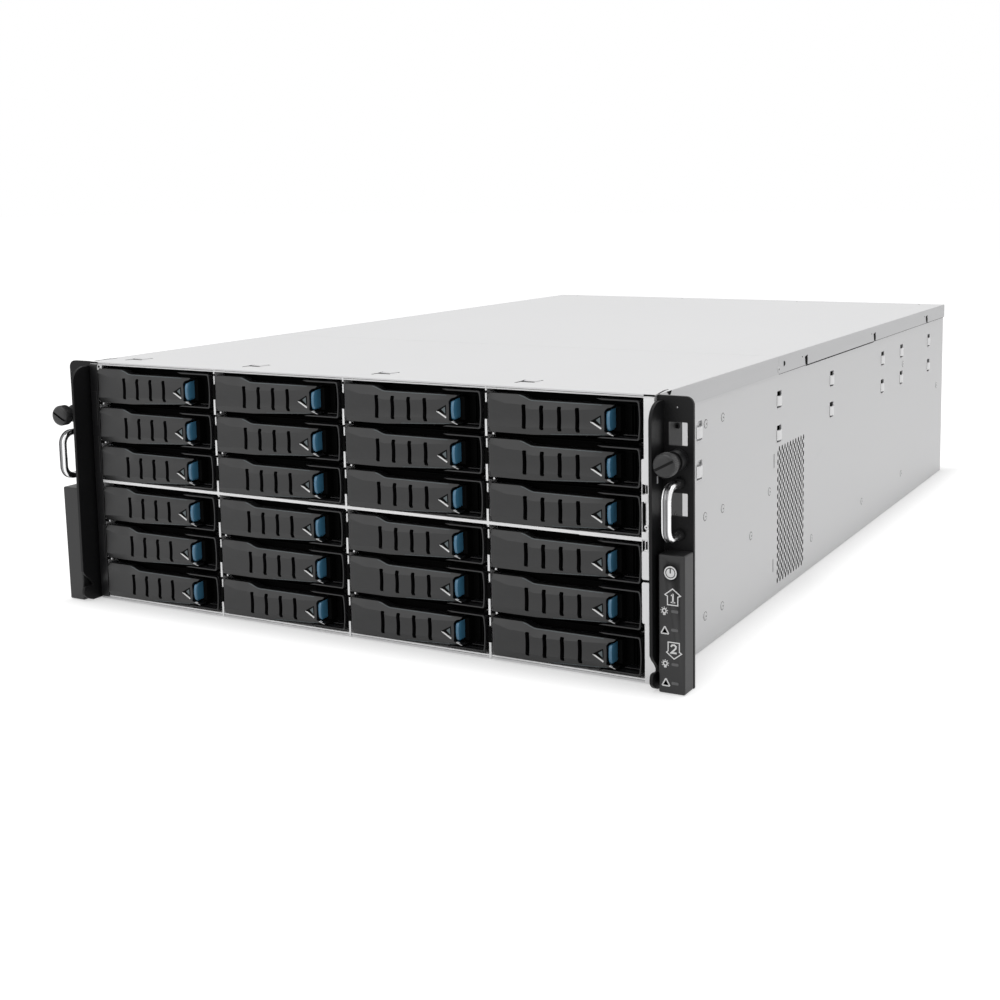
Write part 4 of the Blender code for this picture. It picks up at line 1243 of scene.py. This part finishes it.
def coverPartMesh():
    shape = bmesh.new()
    outer, low, top = coverParts["outer"], coverParts["low"], body["height"]
    y, z = coverParts["moon"]
    angles = [math.radians(a) for a in range(-90, 91, 15)]
    moon = [(y + 3.4 * math.cos(a), z + 1.9 * math.sin(a)) for a in angles]
    for side in (-1, 1):
        thick, thin = onSide(side, outer - 0.1, outer + 0.14), onSide(side, outer - 0.1, outer + 0.1)
        for y in coverParts["hooks"]:  # folded hook that catches the wall, drawn with the small hole and the half-moon as dark patches, painted shade
            hook = [(y - 5.6, low + 6.6), (y + 0.5, low + 7.6), (y - 0.1, low + 0.6), (y - 3.2, low + 0.6)]
            addPlate(shape, hook, "X", *thick, (), 1)
            addPlate(shape, circle((y - 11.4, low + 7.2), 0.55, 10), "X", *thin, (), 1)
        addPlate(shape, moon, "X", *thick, (), 1)
    for x in coverParts["screwsAcross"]:  # flat-headed screws along the cover's rear edge, with painted shade in their slots
        spot = (x, coverParts["screwRow"], 0)
        addTurned(shape, [(3.0, top - 0.1), (2.9, top + 0.06), (1.2, top + 0.08)], spot, "Z", 20)
        addTurned(shape, [(1.1, top), (1.0, top + 0.1)], spot, "Z", 12, 1)
    for x, y in topMarks["dots"]:
        addTurned(shape, [(0.7, top - 0.1), (0.6, top + 0.05)], (x, y, 0), "Z", 10)
    mesh = meshOf("cover_parts_form", shape, ["steel_sheet", "deep_black"])
    return finished(placed("cover_parts_form", mesh))


def plateScrewMesh():  # one screw each side in the flange of the front top plate
    shape = bmesh.new()
    y, z = coverParts["screw"]
    for side in (-1, 1):
        edge = side * coverParts["outer"]
        head = [(2.3, -0.1), (2.2, 0.3), (1.5, 0.5), (0.9, 0.45)]
        addTurned(shape, [(r, edge + side * out) for r, out in head], (0, y, z), "X", 20)
        # painted shade in the slot of each head
        addTurned(shape, [(0.9, edge + side * 0.2), (0.8, edge + side * 0.52)], (0, y, z), "X", 6, 1)
    return meshOf("plate_screws", shape, ["steel_sheet", "deep_black"])


keep(placed("top_marks", topMarkMesh()), "chassis", "steel")
keep(placed("cover_parts", coverPartMesh()), "cover", "steel")
keep(placed("plate_screws", plateScrewMesh()), "chassis", "steel")
print("stage: top")


# rear face: two controllers above each other and two power supplies beside them

leverWidth = 16.0


def addScrewHead(shape, x, z, y, radius):
    dome = [(radius, y - 0.1), (radius * 0.96, y + 0.6), (radius * 0.6, y + 0.95)]
    addTurned(shape, dome, (x, 0, z), "Y", 20)
    addTurned(shape, [(radius * 0.4, y + 0.3), (radius * 0.36, y + 1.0)], (x, 0, z), "Y", 6, 3)


def controllerMesh():
    shape = bmesh.new()
    face, reach = bay["face"], bay["reach"]

    def across(outline, near, far, holes=()):
        addPlate(shape, outline, "Y", face + near, face + far, holes)

    def block(left, near, low, right, far, high, index=0):
        addBox(shape, (left, face + near, low), (right, face + far, high), index)

    for left, right, low, high in bay["controllers"]:
        middle = low + 40
        # port row, low-profile card slots with vents, and status lamps
        plain = [(left + 26, 16.6, 13.8), (left + 46, 16.6, 13.8), (left + 70, 14.4, 13.6),
                 (left + 89, 14.4, 13.6), (left + 110, 31.0, 9.6), (left + 150, 30.5, 11.0)]
        sockets = [roundedBox((x, low + 8), (x + wide, low + 8 + tall), 0.8, 2) for x, wide, tall in plain]
        vents = [(left + 30 + column * 8.6, low + 58 + row * 5.4) for column in range(24) for row in range(3)]
        vents = [rectangle(x - 3, z - 1.6, x + 3, z + 1.6) for x, z in vents if x < right - 34]
        across(rectangle(left + 0.6, low + 0.5, right - 0.6, high - 0.5), -1.0, 1.0, sockets + vents)
        # painted shade: a dark box behind the face, seen through its openings
        block(left + 1.5, -14, low + 1.5, right - 1.5, -2.6, high - 1.5, 1)
        # spring fingers and tongues of the sockets
        for outline, (x, wide, tall) in list(zip(sockets, plain))[:4]:
            addStroke(shape, outline, 1.0, "Y", face + 0.6, face + 1.9, True, 0)
            block(x + 3, -6, low + 9.4, x + wide - 3, -1, low + 11.0, 2)
            for pin in range(6):
                a = x + 4 + pin * (wide - 9) / 5
                block(a, -1.2, low + 11, a + 0.5, -0.8, low + 13.5, 4)
        for x in (left + 111, left + 127):
            block(x + 1.2, -3, low + 11.4, x + 13.2, -0.4, low + 13.2, 2)
        x, wide = plain[5][:2]  # nine-pin style connector shell
        shell = roundedBox((x + 2, low + 9), (x + wide - 2, low + 18), 2.2, 3)
        addStroke(shape, shell, 1.2, "Y", face - 0.5, face + 3.4, True, 0)
        for pin in range(9):
            spot = (x + 7 + (pin % 5) * 4 + (2 if pin > 4 else 0), 0, low + (15.3 if pin < 5 else 11.8))
            addTurned(shape, [(0.5, face - 2), (0.4, face + 2.4)], spot, "Y", 8, 4)
        for x in (left + 24, left + 136):  # blank card brackets
            slots = [roundedBox((x + 12 + s * 8, middle - 7.5), (x + 17 + s * 8, middle + 4.5), 1.4, 3)
                     for s in range(10)]
            across(roundedBox((x, middle - 12), (x + 104, middle + 9), 1.2, 3), 0.8, 1.5, slots)
            addScrewHead(shape, x + 98.5, middle - 1, face + 1.4, 2.6)
        for x in (left + 4, right - 4 - leverWidth):  # swing levers with slotted ends and thumbscrews
            slot = roundedBox((x + 4.5, low + 30), (x + 11.5, high - 16), 2.2, 4)
            across(roundedBox((x, low + 3), (x + leverWidth, high - 3), 1.6, 3), 1.0, 2.4, [slot])
            block(x + 1.0, 2.3, high - 13, x + leverWidth - 1, reach + 1.6, high - 11.6)
            knob = [(4.6, face + 2.2), (4.6, face + 5.2), (4.1, face + 5.8)]
            addTurned(shape, knob, (x + 8, 0, low + 12), "Y", 48, 0, 24, 0.25)
            block(x + 4.2, 5.5, low + 11.5, x + 11.8, 5.9, low + 12.5, 2)
        for k, finish in enumerate((5, 3, 3)):
            lamp = [(1.2, face + 0.9), (1.1, face + 1.3)]
            addTurned(shape, lamp, (left + 196 + k * 7, 0, low + 14), "Y", 14, finish)
    names = ["bright_zinc", "deep_black", "tray_plastic", "smoked_lens", "gold_contact", "green_touch"]
    return softened("controller_form", shape, names, 0.15, 1, 50)


def powerSupplyMesh():
    shape = bmesh.new()
    face = bay["face"]

    def across(outline, near, far, holes=(), index=0):
        addPlate(shape, outline, "Y", face + near, face + far, holes, index)

    def block(left, near, low, right, far, high, index=0):
        addBox(shape, (left, face + near, low), (right, face + far, high), index)

    for left, right, low, high in bay["powers"]:
        fanX, fanZ = left + 46, (low + high) / 2
        inletX, inletZ = right - 46, fanZ - 8
        inlet = roundedBox((inletX, inletZ), (inletX + 28, inletZ + 20), 2.5, 3)
        holes = [inlet]
        for ring, count in ((6, 8), (11.2, 14), (16.4, 20), (21.6, 26), (26.8, 32)):
            for k in range(count):
                angle = 2 * math.pi * (k + 0.5 * (ring > 10)) / count
                holes.append(circle((fanX + ring * math.cos(angle), fanZ + ring * math.sin(angle)), 1.75, 8))
        across(rectangle(left + 0.6, low + 0.5, right - 0.6, high - 0.5), -1.0, 1.0, holes)
        # painted shade: a dark box behind the face, seen through its openings
        block(left + 1.5, -16, low + 1.5, right - 1.5, -9, high - 1.5, 1)
        centre = (fanX, 0, fanZ)
        addTube(shape, 31.5, 30.2, face + 0.8, face + 1.6, centre, "Y", 64)
        addTurned(shape, [(9, face - 8), (9, face - 2.5)], centre, "Y", 40, 2)
        for blade in range(7):  # fan blades behind the grille
            a = 2 * math.pi * blade / 7
            corners = ((8.5, 0), (28, 0.28), (28, 0.78), (8.5, 0.62))
            outline = [(fanX + r * math.cos(a + t), fanZ + r * math.sin(a + t)) for r, t in corners]
            across(outline, -6, -4.6, (), 2)
        for k in (-1, 1):
            for m in (1, -1):
                addScrewHead(shape, fanX + k * 26.5, fanZ + m * 26.5 * k * 0.98, face + 0.9, 2.2)
        # inlet with three blades
        addStroke(shape, inlet, 1.8, "Y", face - 0.5, face + 2.2, True, 2)
        block(inletX + 3, -8, inletZ + 3, inletX + 25, -4, inletZ + 17, 2)
        for dx, dz in ((6.6, 7.5), (14.0, 11.5), (21.4, 7.5)):
            x, z = inletX + dx, inletZ + dz
            block(x - 1, -5, z - 2.2, x + 1, -0.5, z + 2.2)
        # pull handle and release tab
        x = right - 10
        for z in (low + 13, high - 13):
            addTurned(shape, [(2.4, face + 0.8), (2.4, face + 5.0)], (x, 0, z), "Y", 20)
        across(roundedBox((x - 2.6, low + 10), (x + 2.6, high - 10), 2.4, 4), 4.4, 6.6)
        across(roundedBox((right - 46, high - 19), (right - 22, high - 9), 1.6, 3), 0.8, 5.4, (), 3)
        for rib in range(5):
            x = right - 42 + rib * 4
            block(x, 5.2, high - 17.5, x + 1.4, 5.9, high - 10.5, 3)
        addTurned(shape, [(1.3, face + 0.9), (1.2, face + 1.4)], (right - 18, 0, low + 14), "Y", 14, 3)
    names = ["bright_zinc", "deep_black", "tray_plastic", "green_touch"]
    return softened("supply_form", shape, names, 0.2, 1, 50)


keep(placed("controllers", controllerMesh()), "chassis", "zinc")
keep(placed("power_supplies", powerSupplyMesh()), "chassis", "zinc")
print("stage: rear")


# camera, light and floor

cameraPlace = {"eye": (0.5474, -1.0864, 0.2837), "azimuth": 26.313, "elevation": 6.969, "roll": -0.506,
               "lens": 50.965, "shiftX": -0.1052, "shiftY": -0.1309}


def makeCamera():
    az, el, roll = (math.radians(cameraPlace[key]) for key in ("azimuth", "elevation", "roll"))
    back = Vector((math.sin(az) * math.cos(el), -math.cos(az) * math.cos(el), math.sin(el)))
    right = (-back).cross(Vector((0, 0, 1))).normalized()
    up = right.cross(-back)
    across = right * math.cos(roll) + up * math.sin(roll)
    above = up * math.cos(roll) - right * math.sin(roll)
    lens = bpy.data.cameras.new("camera")
    lens.lens = cameraPlace["lens"]
    lens.sensor_width = 36
    lens.shift_x, lens.shift_y = cameraPlace["shiftX"], cameraPlace["shiftY"]
    lens.clip_start, lens.clip_end = 0.02, 60
    camera = bpy.data.objects.new("camera", lens)
    bpy.context.scene.collection.objects.link(camera)
    turn = Matrix((across, above, back)).transposed().to_4x4()
    camera.matrix_world = Matrix.Translation(cameraPlace["eye"]) @ turn
    bpy.context.scene.camera = camera


light = {"world": 0.54, "above": 22.0, "front": 7.0, "side": 0.1, "floorLift": 0.72}


def seenRay(nodes):  # 1 for rays that should meet a white studio
    camera, glossy, through = (nodes.add("LightPath", {}, {}, "Is %s Ray" % kind)
                               for kind in ("Camera", "Glossy", "Transmission"))
    return camera.orMore(glossy.orMore(through))


def makeLamps():
    for name, place, aim, size in (("above", (0.1, -0.1, 2.2), (0, 0, 0), 2.4),
                                   ("front", (-0.9, -2.2, 1.0), (0, 0, 0.08), 1.6),
                                   ("side", (2.3, -0.3, 0.9), (0, 0.1, 0.08), 1.6)):
        lamp = bpy.data.lights.new(name, "AREA")
        lamp.size = size
        lamp.energy = light[name]
        piece = bpy.data.objects.new(name, lamp)
        bpy.context.scene.collection.objects.link(piece)
        piece.location = place
        piece.rotation_euler = (Vector(aim) - Vector(place)).to_track_quat("-Z", "Y").to_euler()


def makeWorld():
    world = bpy.data.worlds.new("soft_studio")
    bpy.context.scene.world = world
    world.use_nodes = True
    nodes = Nodes(world.node_tree)
    seen = seenRay(nodes)
    strength = seen + (1 - seen) * light["world"]
    glow = nodes.add("Background", {}, {"Color": (1.0, 1.0, 1.0), "Strength": strength})
    output = nodes.tree.nodes.new("ShaderNodeOutputWorld")
    nodes.tree.links.new(glow.socket, output.inputs[0])


def makeFloor():
    material = bpy.data.materials.new("pale_floor")
    material.use_nodes = True
    nodes = Nodes(material.node_tree)
    mottle = nodes.blend(nodes.noise(3, 2), (0.55, 0.55, 0.55), (0.57, 0.57, 0.57))
    matt = nodes.add("BsdfDiffuse", {}, {"Color": mottle})
    # the lift is weaker close to the chassis: a painted soft shadow around its footprint, besides its real
    # shadow
    away = (abs(nodes.along("X")) - 0.215).orMore(abs(nodes.along("Y")) - 0.352)
    far = nodes.add("Clamp", {}, {"Value": (away + 0.012) * 22})
    glow = nodes.blend(far, (0.3, 0.3, 0.3), (1.0, 1.0, 1.0))
    lift = nodes.add("Emission", {}, {"Color": glow, "Strength": light["floorLift"]})
    both = nodes.add("AddShader", {}, {0: matt, 1: lift})
    surface = nodes.add("MixShader", {}, {0: seenRay(nodes), 1: matt, 2: both})
    output = nodes.tree.nodes.new("ShaderNodeOutputMaterial")
    nodes.tree.links.new(surface.socket, output.inputs[0])
    shape = bmesh.new()
    bmesh.ops.create_grid(shape, x_segments=1, y_segments=1, size=20)
    mesh = bpy.data.meshes.new("floor")
    shape.to_mesh(mesh)
    shape.free()
    mesh.materials.append(material)
    floor = bpy.data.objects.new("floor", mesh)
    bpy.context.scene.collection.objects.link(floor)
    floor.location.z = -0.0005
    floor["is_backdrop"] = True


makeCamera()
makeWorld()
makeLamps()
makeFloor()
for finish, *nodes in (("cage_zinc", "drive_cage", "top_cover"), ("powder_coat", "left_ear", "right_ear"),
                       ("polished_steel", "left_handle", "right_handle"),
                       ("blackened_steel", "left_thumbscrew", "right_thumbscrew"),
                       ("module_plastic", "control_module", "left_module"), ("white_print", "power_button")):
    for node in nodes:
        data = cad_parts[node].data
        data.materials.clear()
        data.materials.append(paints[finish])
bpy.context.scene.view_settings.view_transform = "Standard"
print("stage: studio")

low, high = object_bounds()
